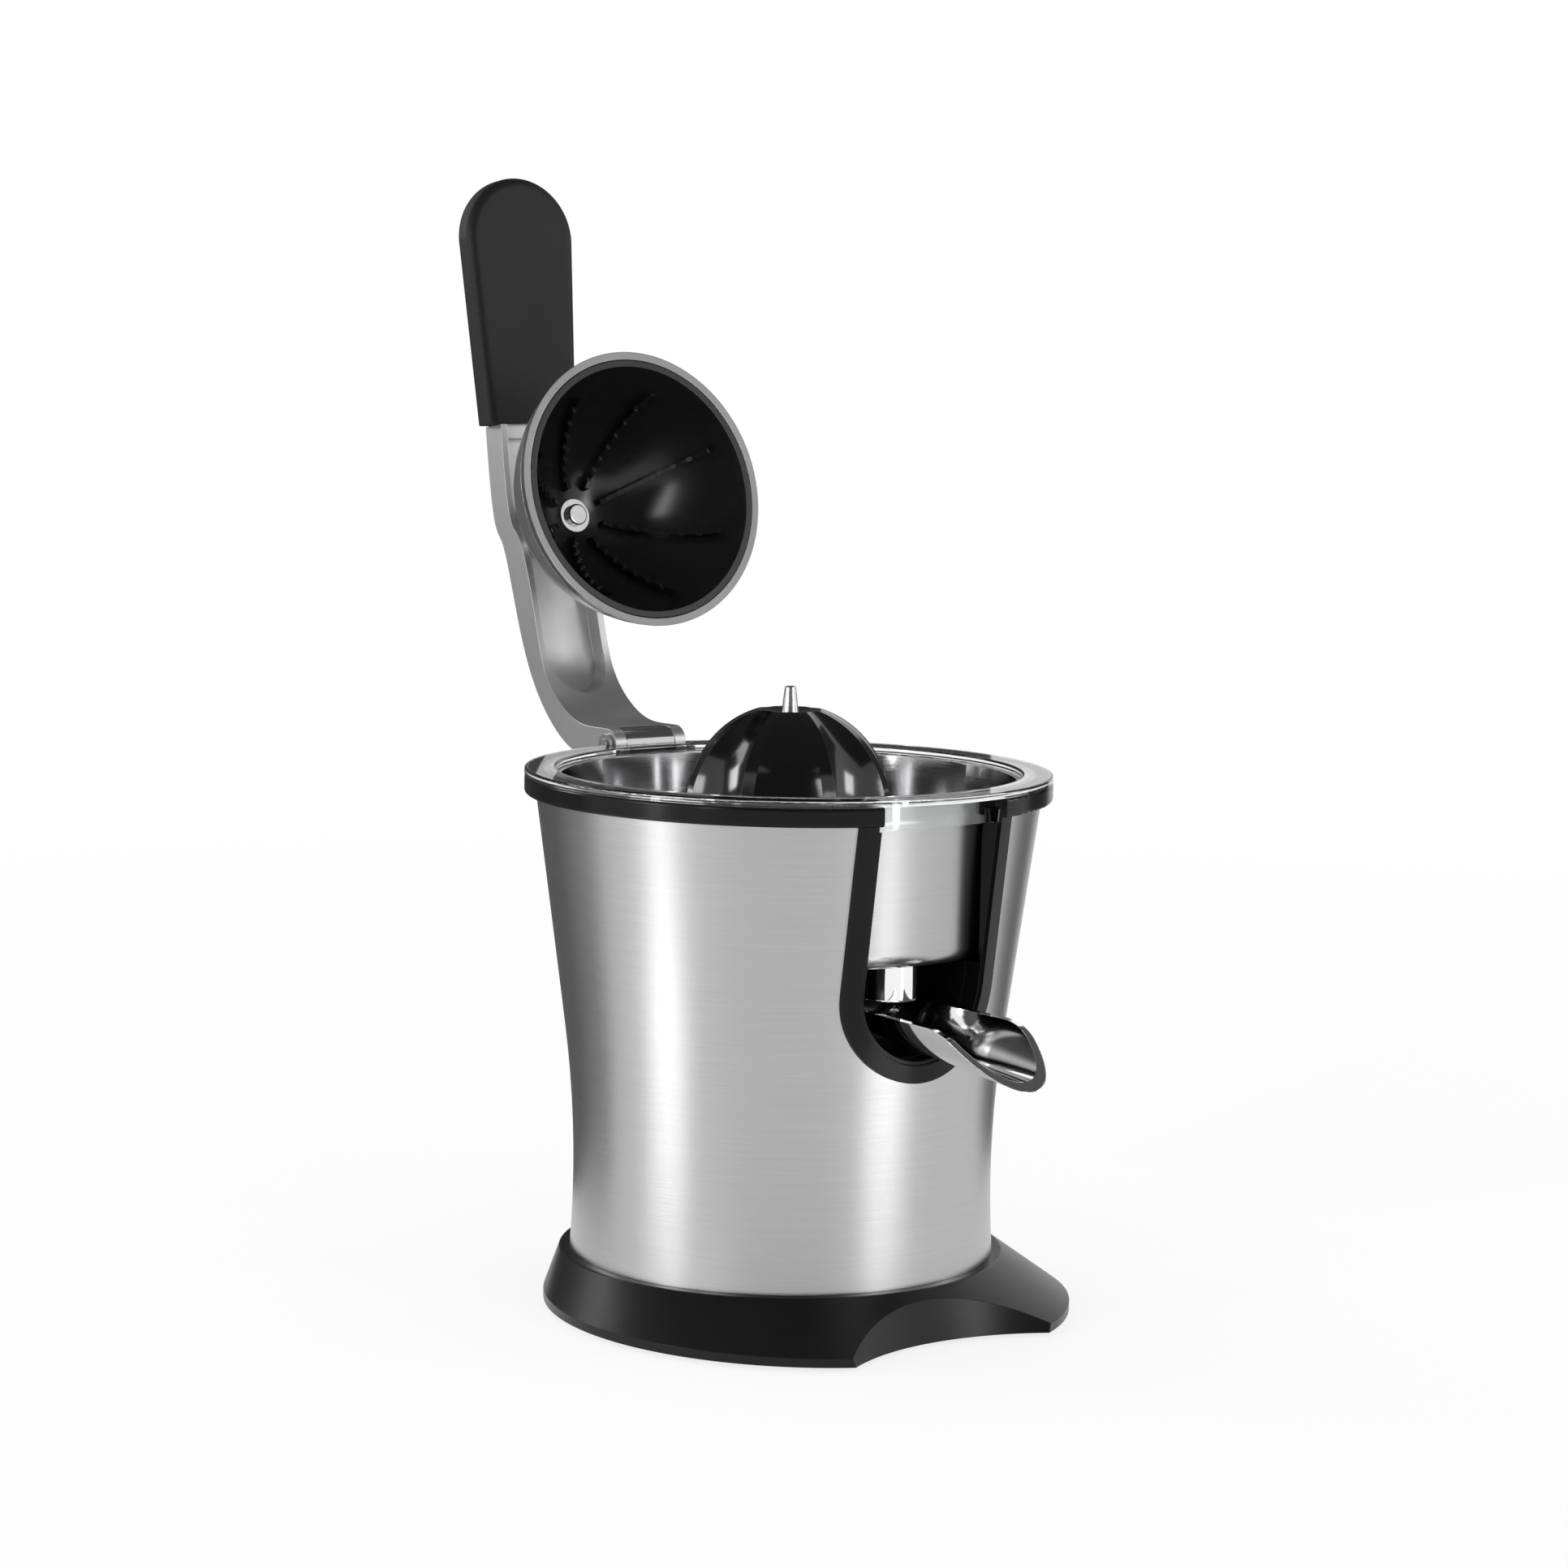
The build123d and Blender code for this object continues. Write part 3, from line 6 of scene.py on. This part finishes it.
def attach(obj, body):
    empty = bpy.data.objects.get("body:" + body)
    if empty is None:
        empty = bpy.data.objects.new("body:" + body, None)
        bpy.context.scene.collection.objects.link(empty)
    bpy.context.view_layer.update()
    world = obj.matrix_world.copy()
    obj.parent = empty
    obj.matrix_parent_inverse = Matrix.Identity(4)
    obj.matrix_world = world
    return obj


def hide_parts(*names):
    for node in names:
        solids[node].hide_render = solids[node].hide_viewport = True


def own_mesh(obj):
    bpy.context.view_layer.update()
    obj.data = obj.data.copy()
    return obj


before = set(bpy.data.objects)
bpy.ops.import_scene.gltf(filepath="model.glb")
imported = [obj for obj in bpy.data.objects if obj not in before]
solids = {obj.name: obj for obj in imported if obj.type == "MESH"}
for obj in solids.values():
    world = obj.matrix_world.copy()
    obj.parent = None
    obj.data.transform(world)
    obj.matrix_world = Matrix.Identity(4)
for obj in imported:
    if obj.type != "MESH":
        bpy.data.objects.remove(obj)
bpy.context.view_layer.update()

# Base skirt and bottom cover: the flared foot of the press, scooped at the front for a glass.
# Both are injection-moulded black plastic with a fine spark-eroded grain, and screws hold the cover.
# The deck under the bowl and the start switch's case are moulded in the same plastic.


class Value:
    """A number, colour or shader that runs through a finish's nodes."""

    def __init__(self, finish, socket):
        self.finish = finish
        self.socket = socket

    def math(self, operation, other, reflected=False):
        first, second = (other, self) if reflected else (self, other)
        return self.finish.node("ShaderNodeMath", {"operation": operation}, {0: first, 1: second})

    def part(self, index):
        return self.finish.node("ShaderNodeSeparateXYZ", {}, {0: self}, index)

    def __add__(self, other):
        return self.math("ADD", other)

    __radd__ = __add__

    def __sub__(self, other):
        return self.math("SUBTRACT", other)

    def __rsub__(self, other):
        return self.math("SUBTRACT", other, reflected=True)

    def __mul__(self, other):
        return self.math("MULTIPLY", other)

    __rmul__ = __mul__

    def __lt__(self, other):
        return self.math("LESS_THAN", other)

    def __gt__(self, other):
        return self.math("GREATER_THAN", other)


class Finish:
    """One surface finish: a shader with the nodes that vary it."""

    def __init__(self, name, kept=bpy.data.materials, shader="Principled BSDF"):
        self.material = kept.new(name)
        self.material.use_nodes = True
        self.tree = self.material.node_tree
        self.shader = self.tree.nodes[shader]

    def feed(self, socket, value):
        if isinstance(value, Value):
            self.tree.links.new(value.socket, socket)
        elif socket.type == "RGBA" and len(value) == 3:
            socket.default_value = (*value, 1.0)
        else:
            socket.default_value = value

    def node(self, kind, settings, sockets, out=0):
        made = self.tree.nodes.new(kind)
        for name, value in settings.items():
            setattr(made, name, value)
        for name, value in sockets.items():
            self.feed(made.inputs[name], value)
        return Value(self, made.outputs[out])

    def place(self):
        return self.node("ShaderNodeTexCoord", {}, {}, "Object")

    def noise(self, place, scale, detail, roughness=0.55):
        sockets = {"Vector": place, "Scale": scale, "Detail": detail, "Roughness": roughness}
        return self.node("ShaderNodeTexNoise", {"noise_dimensions": "3D"}, sockets)

    def stretch(self, place, amounts):
        return self.node("ShaderNodeVectorMath", {"operation": "MULTIPLY"}, {0: place, 1: amounts})

    def along(self, place, direction):
        sockets = {0: place, 1: direction}
        return self.node("ShaderNodeVectorMath", {"operation": "DOT_PRODUCT"}, sockets, "Value")

    def blend(self, factor, dark, light):
        factor_input, dark_input, light_input, colour_output = 0, 6, 7, 2
        sockets = {factor_input: factor, dark_input: dark, light_input: light}
        return self.node("ShaderNodeMix", {"data_type": "RGBA"}, sockets, colour_output)

    def bump(self, height, strength, distance, edge=0.0004):
        """A small relief over edges that are broken by a small radius."""
        broken = self.node("ShaderNodeBevel", {"samples": 4}, {"Radius": edge})
        sockets = {"Height": height, "Strength": strength, "Distance": distance, "Normal": broken}
        return self.node("ShaderNodeBump", {}, sockets)

    def surface(self, **values):
        for name, value in values.items():
            title = name.replace("_", " ").title().replace("Ior", "IOR")
            self.feed(self.shader.inputs[title], value)
        return self.material


def dress(material, *names):
    for name in names:
        mesh = solids[name].data
        mesh.materials.clear()
        mesh.materials.append(material)


def moulded_black(name, dark, light, gloss, grain, shine):
    """Black moulding: faint mottling, a fine grain and a slightly uneven gloss."""
    haze_dulling, speck_dulling, mottle_height = 0.08, 0.05, 0.4
    finish = Finish(name)
    place = finish.place()
    mottle = finish.noise(place, scale=55.0, detail=4.0)
    speck = finish.noise(place, scale=1800.0, detail=2.0)
    haze = finish.noise(place, scale=18.0, detail=2.0)
    return finish.surface(
        base_color=finish.blend(mottle, dark, light),
        roughness=gloss + haze * haze_dulling + speck * speck_dulling,
        specular_ior_level=shine,
        normal=finish.bump(speck + mottle * mottle_height, strength=grain, distance=0.0002),
    )


skirt_black = moulded_black(
    "skirt_black",
    dark=(0.004, 0.004, 0.0045),
    light=(0.008, 0.008, 0.0085),
    gloss=0.24,
    grain=0.10,
    shine=0.24,
)
dress(skirt_black, "base_skirt", "bottom_cover", "motor_deck", "start_switch")

# Feet, cord gland and shaft seal: moulded black rubber, dull, with a dusty bloom on its skin.
# The feet carry the press on the worktop, the gland lines the hole at the skirt's back, and the
# seal keeps juice out of the bearing of the drive shaft.
bloom_dulling = 0.2
rubber = Finish("foot_rubber")
bloom = rubber.noise(rubber.place(), scale=240.0, detail=5.0)
rubber.surface(
    base_color=rubber.blend(bloom, dark=(0.018, 0.018, 0.018), light=(0.045, 0.045, 0.044)),
    roughness=0.7 + bloom * bloom_dulling,
    normal=rubber.bump(bloom, strength=0.25, distance=0.0003),
)
dress(rubber.material, "rubber_feet", "cord_gland", "shaft_seal")

# Steel shell and juice bowl: stainless sheet, rolled to a waisted wall for the shell and spun for
# the bowl, and brushed round the drive axis. The brushing leaves fine level scratches that spread
# the light upright. The bowl's inner face is left smoother, and the bowl lifts out for washing.


def brushed_round(name, dark, light, rough, depth, inner_rough):
    """Steel brushed round the axis, with a smoother face on its inner side."""
    scratch_length, scratch_pitch = 3.0, 2600.0
    band_length, band_pitch, band_layer = 0.8, 700.0, 4.0
    scratch_share, band_share, scratch_dulling = 0.6, 0.4, 0.14
    finish = Finish(name)
    place = finish.place()
    outward = finish.node("ShaderNodeNewGeometry", {}, {}, "Normal")
    inside = finish.along(finish.stretch(place, (1.0, 1.0, 0.0)), outward) < 0.0
    x, y, z = (place.part(index) for index in range(3))
    angle = y.math("ARCTAN2", x)
    fine_run = {0: angle * scratch_length, 1: z * scratch_pitch, 2: 0.0}
    long_run = {0: angle * band_length, 1: z * band_pitch, 2: band_layer}
    fine = finish.node("ShaderNodeCombineXYZ", {}, fine_run)
    long = finish.node("ShaderNodeCombineXYZ", {}, long_run)
    scratches = finish.noise(fine, scale=1.0, detail=2.0)
    bands = finish.noise(long, scale=1.0, detail=3.0)
    brushing = scratches * scratch_share + bands * band_share
    return finish.surface(
        base_color=finish.blend(brushing, dark, light),
        metallic=1.0,
        roughness=rough + scratches * scratch_dulling - inside * (rough - inner_rough),
        normal=finish.bump(brushing, strength=depth, distance=0.00012),
    )


shell_steel = brushed_round(
    "shell_steel",
    dark=(0.39, 0.39, 0.395),
    light=(0.52, 0.52, 0.525),
    rough=0.24,
    depth=0.35,
    inner_rough=0.24,
)
bowl_steel = brushed_round(
    "bowl_steel",
    dark=(0.36, 0.36, 0.365),
    light=(0.46, 0.46, 0.465),
    rough=0.24,
    depth=0.05,
    inner_rough=0.03,
)
dress(shell_steel, "steel_shell")
dress(bowl_steel, "juice_bowl")

# Top bezel and spout recess: gloss black mouldings that cover the shell's cut edges.
# The bezel is a ring over the shell's top edge that runs down round the window as its frame.
# The recess lies behind the window and is a little duller.
bezel_dark, bezel_light = (0.003, 0.003, 0.0035), (0.006, 0.006, 0.0065)
bezel_black = moulded_black(
    "bezel_black", bezel_dark, bezel_light, gloss=0.15, grain=0.05, shine=0.18
)
recess_black = moulded_black(
    "recess_black", bezel_dark, bezel_light, gloss=0.24, grain=0.06, shine=0.20
)
dress(bezel_black, "top_bezel")
dress(recess_black, "spout_recess")

# Splash ring: a clear flange round the bowl's rim that keeps juice off the bezel.
# It is moulded in acrylic, polished by the tool, and lifts off for washing.
acrylic_index = 1.49
haze_dulling = 0.05
ring_clear = Finish("ring_clear")
ring_haze = ring_clear.noise(ring_clear.place(), scale=90.0, detail=3.0)
ring_clear.surface(
    base_color=(0.96, 0.97, 0.97),
    roughness=0.02 + ring_haze * haze_dulling,
    ior=acrylic_index,
    transmission_weight=1.0,
)
dress(ring_clear.material, "splash_ring")

# Spout, outlet collar and pivot pins: cast metal, polished and chromed, faintly wavy where the
# polishing wheel dwelt. The collar guides the juice out of the bowl, and the spout tilts on its
# two pins to stop the last drops.


def chromed(name, dark, light, rough, ripple):
    """Plated metal: a mirror with a slow ripple and thin smears."""
    smear_dulling = 0.05
    finish = Finish(name)
    place = finish.place()
    wave = finish.noise(place, scale=70.0, detail=2.0)
    smear = finish.noise(place, scale=420.0, detail=4.0)
    return finish.surface(
        base_color=finish.blend(smear, dark, light),
        metallic=1.0,
        roughness=rough + smear * smear_dulling,
        normal=finish.bump(wave, strength=ripple, distance=0.0006),
    )


chrome = chromed(
    "chrome", dark=(0.87, 0.87, 0.875), light=(0.94, 0.94, 0.945), rough=0.04, ripple=0.06
)
dress(chrome, "spout", "outlet_collar", "spout_pins")

# Gearbox: moulded nylon gears, case and switch plunger, left in their natural bone colour.
# A cast alloy plate on four posts carries them, and the motor's two bells are the same casting.
# The shaft bushes and the motor's pinion are bronze, pressed from powder and sintered.
cloud_dulling = 0.15
nylon = Finish("nylon")
nylon_cloud = nylon.noise(nylon.place(), scale=120.0, detail=4.0)
nylon.surface(
    base_color=nylon.blend(nylon_cloud, dark=(0.66, 0.64, 0.56), light=(0.80, 0.78, 0.71)),
    roughness=0.42 + nylon_cloud * cloud_dulling,
    normal=nylon.bump(nylon_cloud, strength=0.1, distance=0.0002),
)


def ground_metal(name, dark, light, rough):
    """Bare metal with upright grinding marks and a light stain."""
    stain_share, mark_share, mark_dulling = 0.5, 0.5, 0.15
    finish = Finish(name)
    place = finish.place()
    marks = finish.noise(finish.stretch(place, (1.0, 1.0, 6.0)), scale=900.0, detail=3.0)
    stain = finish.noise(place, scale=60.0, detail=4.0)
    return finish.surface(
        base_color=finish.blend(stain * stain_share + marks * mark_share, dark, light),
        metallic=1.0,
        roughness=rough + marks * mark_dulling,
        normal=finish.bump(marks, strength=0.2, distance=0.0001),
    )


cast_alloy = ground_metal(
    "cast_alloy", dark=(0.46, 0.46, 0.47), light=(0.64, 0.64, 0.65), rough=0.42
)
bronze = ground_metal("bronze", dark=(0.40, 0.24, 0.10), light=(0.58, 0.38, 0.18), rough=0.34)
dress(nylon.material, "gearbox_case", "lay_gear", "final_gear", "switch_plunger")
dress(cast_alloy, "gearbox_plate", "chassis_posts", "motor_lower_bell", "motor_upper_bell")
dress(bronze, "lower_bush", "upper_bush", "motor_pinion")

# Motor: a stack of thin punched iron sheets round an iron rotor, hung under the gearbox plate.
# The windings are enamelled copper wire, wound by machine and dipped in varnish.
layer_dulling = 0.2
iron = Finish("iron_laminations")
layers = iron.noise(iron.stretch(iron.place(), (20.0, 20.0, 2400.0)), scale=1.0, detail=2.0)
iron.surface(
    base_color=iron.blend(layers, dark=(0.10, 0.10, 0.105), light=(0.22, 0.22, 0.225)),
    metallic=0.8,
    roughness=0.45 + layers * layer_dulling,
    normal=iron.bump(layers, strength=0.3, distance=0.0002),
)
dress(iron.material, "motor_stator", "motor_rotor")
strand_dulling = 0.2
copper = Finish("copper_winding")
strands = copper.noise(copper.stretch(copper.place(), (60.0, 60.0, 1500.0)), scale=1.0, detail=2.0)
copper.surface(
    base_color=copper.blend(strands, dark=(0.28, 0.09, 0.03), light=(0.52, 0.20, 0.08)),
    metallic=0.7,
    roughness=0.3 + strands * strand_dulling,
    normal=copper.bump(strands, strength=0.5, distance=0.0004),
)
dress(copper.material, "motor_coils")

# Shafts, pins, screws, retaining rings and the cone's tip: drawn steel bar, turned and ground.
# The shafts run in the bushes, the pins and rings hold the hinge and the lay gear, and the tip is
# pressed into the cone.
ground_steel = ground_metal(
    "ground_steel", dark=(0.42, 0.42, 0.43), light=(0.66, 0.66, 0.67), rough=0.22
)
dress(ground_steel, "drive_shaft", "motor_shaft", "lay_pin", "cone_tip", "cover_screws")
dress(ground_steel, "hinge_pin", "hinge_clips", "bracket_screws", "grip_screws")

# Return spring: three turns of round steel wire that stand on the final gear's hub and lift the cone.
# It turns with the gear, and the shaft's collar presses its turns together as the cone goes down.
spring_coil = bpy.data.objects.new("spring_coil", solids["return_spring"].data.copy())
bpy.context.scene.collection.objects.link(spring_coil)
spring_coil.data.materials.clear()
spring_coil.data.materials.append(ground_steel)
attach(spring_coil, "final")
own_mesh(spring_coil)
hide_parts("return_spring")

# Reamer cone and strainer: food-safe black plastic, moulded in a polished tool for a high gloss.
# The cone drops onto the drive shaft and turns with it, and the strainer stands on the bowl's floor.
cone_black = moulded_black(
    "cone_black",
    dark=(0.002, 0.002, 0.0025),
    light=(0.005, 0.005, 0.0055),
    gloss=0.06,
    grain=0.03,
    shine=0.50,
)
dress(cone_black, "reamer_cone", "strainer")

# Hinge block, with the dome's screw and washer: alloy and steel, plated and polished to a soft shine.
# The block is screwed to the bezel's console and carries the lever's pin.
block_silver = chromed(
    "block_silver", dark=(0.52, 0.52, 0.525), light=(0.64, 0.64, 0.645), rough=0.10, ripple=0.06
)
dress(block_silver, "hinge_bracket", "dome_screw", "dome_washer")

# Lever arm and dome spacer: die-cast alloy, sprayed with a satin silver lacquer full of metal flake.
# The arm is a channel that swings on the hinge pin and holds the spacer, the dome and the grip.


def silver_lacquer(name, dark, light, rough, grain, painted_rim_shade=None):
    """Satin silver over metal flake; a rim band, given by its axis, back and share, is painted darker as
    painted shade.
    """
    cloud_share, flake_share, flake_dulling, cloud_height = 0.6, 0.4, 0.12, 0.6
    finish = Finish(name)
    place = finish.place()
    flake = finish.noise(place, scale=2600.0, detail=2.0)
    cloud = finish.noise(place, scale=30.0, detail=3.0)
    tone_and_rim_shade = cloud * cloud_share + flake * flake_share
    # Painted shade: the rim band past 'back' along the axis is darkened in colour, standing in for the
    # shade round the dome's lip.
    if painted_rim_shade:
        axis, back, share = painted_rim_shade
        tone_and_rim_shade = tone_and_rim_shade * (1.0 - share * (finish.along(place, axis) > back))
    return finish.surface(
        base_color=finish.blend(tone_and_rim_shade, dark, light),
        metallic=0.9,
        roughness=rough + flake * flake_dulling,
        coat_weight=0.25,
        normal=finish.bump(flake + cloud * cloud_height, strength=grain, distance=0.00015),
    )


arm_silver = silver_lacquer(
    "arm_silver", dark=(0.50, 0.50, 0.505), light=(0.64, 0.64, 0.645), rough=0.26, grain=0.16
)
dress(arm_silver, "lever_arm", "dome_spacer")

# Lever grip: a moulded core under a black soft-touch coating, matt with a leather-fine grain.
# It slides over the arm's tang, and two screws from behind hold it.
grip_soft = moulded_black(
    "grip_soft",
    dark=(0.006, 0.006, 0.0065),
    light=(0.011, 0.011, 0.0115),
    gloss=0.44,
    grain=0.22,
    shine=0.22,
)
dress(grip_soft, "lever_grip")

# Press dome: a metal shell in brighter silver lacquer that holds half a fruit; its lip is painted darker,
# as painted shade on the rim rather than a colour of the lacquer.
# Its ribbed and toothed black insert is moulded and polished, and one screw holds both to the spacer.
dome_axis = (0.0, -0.9659, 0.2588)
# Start and strength of the painted shade on the dome's rim band.
rim_shade_start = -0.0223
rim_shade_share = 0.65
dome_silver = silver_lacquer(
    "dome_silver",
    dark=(0.16, 0.16, 0.165),
    light=(0.78, 0.78, 0.785),
    rough=0.16,
    grain=0.08,
    painted_rim_shade=(dome_axis, rim_shade_start, rim_shade_share),
)
insert_black = moulded_black(
    "insert_black",
    dark=(0.006, 0.006, 0.0065),
    light=(0.012, 0.012, 0.0125),
    gloss=0.17,
    grain=0.03,
    shine=0.50,
)
dress(dome_silver, "dome_shell")
dress(insert_black, "dome_insert")

# Studio floor: a plain pale sheet under the press, which takes its shadow.
# Seen straight, it grows whiter with distance, until it runs into the white background.


def sheet(name, corners):
    mesh = bpy.data.meshes.new(name)
    mesh.from_pydata(corners, [], [tuple(range(len(corners)))])
    made = bpy.data.objects.new(name, mesh)
    bpy.context.scene.collection.objects.link(made)
    return made


def level_square(half, height):
    return [(x * half, y * half, height) for x, y in ((-1, -1), (1, -1), (1, 1), (-1, 1))]


def shown(finish):
    """One where the camera, a mirror or a clear piece looks straight at the background."""
    rays = ("Is Camera Ray", "Is Glossy Ray", "Is Transmission Ray")
    seen, mirrored, through = (finish.node("ShaderNodeLightPath", {}, {}, ray) for ray in rays)
    return seen.math("MAXIMUM", mirrored).math("MAXIMUM", through)


floor_half = 6.0
white = (1.0, 1.0, 1.0)
near_share, share_per_metre, whole = 0.80, 0.14, 1.0
floor = sheet("studio_floor", level_square(floor_half, 0.0))
floor_white = Finish("floor_white")
floor_white.surface(base_color=(0.86, 0.86, 0.86), roughness=0.6)
floor_glow = floor_white.node("ShaderNodeEmission", {}, {"Color": white, "Strength": 1.0})
floor_far = floor_white.node(
    "ShaderNodeVectorMath", {"operation": "LENGTH"}, {0: floor_white.place()}, "Value"
)
floor_share = (near_share + floor_far * share_per_metre).math("MINIMUM", whole)
floor_mix = {
    0: shown(floor_white) * floor_share,
    1: Value(floor_white, floor_white.shader.outputs[0]),
    2: floor_glow,
}
floor_seen = floor_white.node("ShaderNodeMixShader", {}, floor_mix)
floor_white.feed(floor_white.tree.nodes["Material Output"].inputs["Surface"], floor_seen)
floor.data.materials.append(floor_white.material)

# Studio air: an even white light from all round the press.
# The camera, mirrors and clear pieces see it as plain white, and dull surfaces get a little less of it.
air_light, air_shown = 0.6, 1.0
air = Finish("studio_world", bpy.data.worlds, "Background")
bpy.context.scene.world = air.material
air.surface(color=white, strength=air_light)
air_clear = air.node("ShaderNodeBackground", {}, {"Color": white, "Strength": air_shown})
air_mix = {0: shown(air), 1: Value(air, air.shader.outputs[0]), 2: air_clear}
air_seen = air.node("ShaderNodeMixShader", {}, air_mix)
air.feed(air.tree.nodes["World Output"].inputs["Surface"], air_seen)

# Strip lamps: tall narrow boxes of cloth over tubes, on stands to the left and the right of the camera.
# The two low ones draw the bright bands on the brushed shell, and the near one the dome's soft spot.


def softbox(name, place, width, height, watts, mirrored=True):
    press_middle = Vector((0.0, 0.0, 0.2))
    lamp = bpy.data.lights.new(name, "AREA")
    lamp.shape = "RECTANGLE"
    lamp.size = width
    lamp.size_y = height
    lamp.energy = watts
    made = bpy.data.objects.new(name, lamp)
    bpy.context.scene.collection.objects.link(made)
    made.location = place
    made.rotation_euler = (press_middle - Vector(place)).to_track_quat("-Z", "Y").to_euler()
    made.visible_glossy = mirrored
    return made


def around(azimuth, reach, height):
    """A place round the object: azimuth 0 is in front of the spout, 90 at its right."""
    turn = math.radians(azimuth)
    return (math.sin(turn) * reach, -math.cos(turn) * reach, height)


left_azimuth, front_azimuth, strip_height = -93.0, 13.0, 0.22
left_place = around(left_azimuth, reach=1.5, height=strip_height)
front_place = around(front_azimuth, reach=1.6, height=strip_height)
near_place = around(azimuth=-71.0, reach=1.7, height=0.65)
softbox("strip_left", left_place, width=0.12, height=0.46, watts=1.5)
softbox("strip_front", front_place, width=0.08, height=0.46, watts=1.3)
softbox("strip_near", near_place, width=0.10, height=1.0, watts=4.0)

# Floor lamps: tubes laid on the floor that point at the press, below the two low strips.
# The shell leans out towards its top, where it mirrors the floor, so they carry its bands upwards.


def floor_strip(name, azimuth, near, far, width, watts):
    tube_lift = 0.004
    place = around(azimuth, (near + far) / 2, tube_lift)
    made = softbox(name, place, width, far - near, watts)
    made.rotation_euler = (math.pi, 0.0, math.radians(azimuth))


floor_strip("floor_left", left_azimuth, near=0.25, far=1.4, width=0.10, watts=0.85)
floor_strip("floor_front", front_azimuth, near=0.25, far=1.5, width=0.11, watts=0.95)

# Box lamps: one broad cloth box overhead, four square ones in a ring above the bowl, one behind.
# The overhead one fills the shadows, the ring gives the cone's ribs their bright patches, and the
# one behind lights the back of the lever.
softbox("top_light", (0.0, 0.1, 1.7), width=1.3, height=1.3, watts=6.0, mirrored=False)
ring_azimuths = {"box_rear_left": -146.0, "box_left": -97.0, "box_front": 17.0, "box_right": 64.0}
for box_name, box_azimuth in ring_azimuths.items():
    box_place = around(box_azimuth, reach=1.6, height=0.68)
    softbox(box_name, box_place, width=0.36, height=0.40, watts=4.5)
rear_place = around(azimuth=192.0, reach=1.5, height=1.05)
softbox("rear_light", rear_place, width=1.0, height=0.45, watts=4.5)

# Dark cards: dull black and grey boards set round the press, as for any picture of polished metal.
# Only reflections show them: they give the shell, the bowl and the gloss black pieces their dark parts.
# The floor ones carry the upright ones on below, as the floor lamps do.
card_black = 0.08


def dark_card(name, corners, grey=card_black):
    made = sheet(name, corners)
    card = Finish(name)
    card.surface(base_color=(grey, grey, grey), roughness=0.9)
    made.data.materials.append(card.material)
    made.visible_camera = False
    made.visible_diffuse = False
    made.visible_transmission = False
    made.visible_shadow = False


def upright_card(name, azimuths, reach, low, high, grey=card_black):
    first, last = azimuths
    edges = ((first, low), (last, low), (last, high), (first, high))
    dark_card(name, [around(azimuth, reach, height) for azimuth, height in edges], grey)


def floor_card(name, azimuths, near, far, grey=card_black):
    card_lift = 0.001
    first, last = azimuths
    edges = ((first, near), (first, far), (last, far), (last, near))
    dark_card(name, [around(azimuth, reach, card_lift) for azimuth, reach in edges], grey)


rear_span, grey_span, right_span, near_span = (138.0, 205.0), (205.0, 230.0), (86.0, 114.0), (-85.0, 8.0)
upright_card("card_rear", rear_span, reach=1.7, low=0.0, high=1.3)
upright_card("card_rear_grey", grey_span, reach=1.7, low=0.0, high=1.3, grey=0.15)
upright_card("card_right", right_span, reach=1.5, low=0.0, high=1.3)
upright_card("card_near", near_span, reach=2.3, low=0.10, high=1.7)
floor_card("card_rear_floor", rear_span, near=0.25, far=1.7)
floor_card("card_grey_floor", grey_span, near=0.25, far=1.7, grey=0.20)
floor_card("card_right_floor", right_span, near=0.3, far=1.5)
dark_card("card_over", level_square(half=1.7, height=1.7))

# Camera: it stands to the left of the spout, a little above the bowl, and looks slightly down.
# Its place, turn, dip, roll and focal length are fitted to the photograph.
picture_width = 1932.0
focal_pixels = 4815.0
sensor_width = 36.0
camera_place = (-0.890, -1.207, 0.381)
camera_turn, camera_dip, camera_roll = -36.333, 6.85, 1.02
lens = bpy.data.cameras.new("photo_camera")
lens.sensor_width = sensor_width
lens.lens = sensor_width * focal_pixels / picture_width
camera = bpy.data.objects.new("photo_camera", lens)
bpy.context.scene.collection.objects.link(camera)
turned = Euler((math.radians(90.0 - camera_dip), 0.0, math.radians(camera_turn))).to_matrix()
rolled = turned @ Matrix.Rotation(math.radians(camera_roll), 3, "Z")
camera.matrix_world = Matrix.Translation(camera_place) @ rolled.to_4x4()
bpy.context.scene.camera = camera
bpy.context.scene.view_settings.view_transform = "Standard"
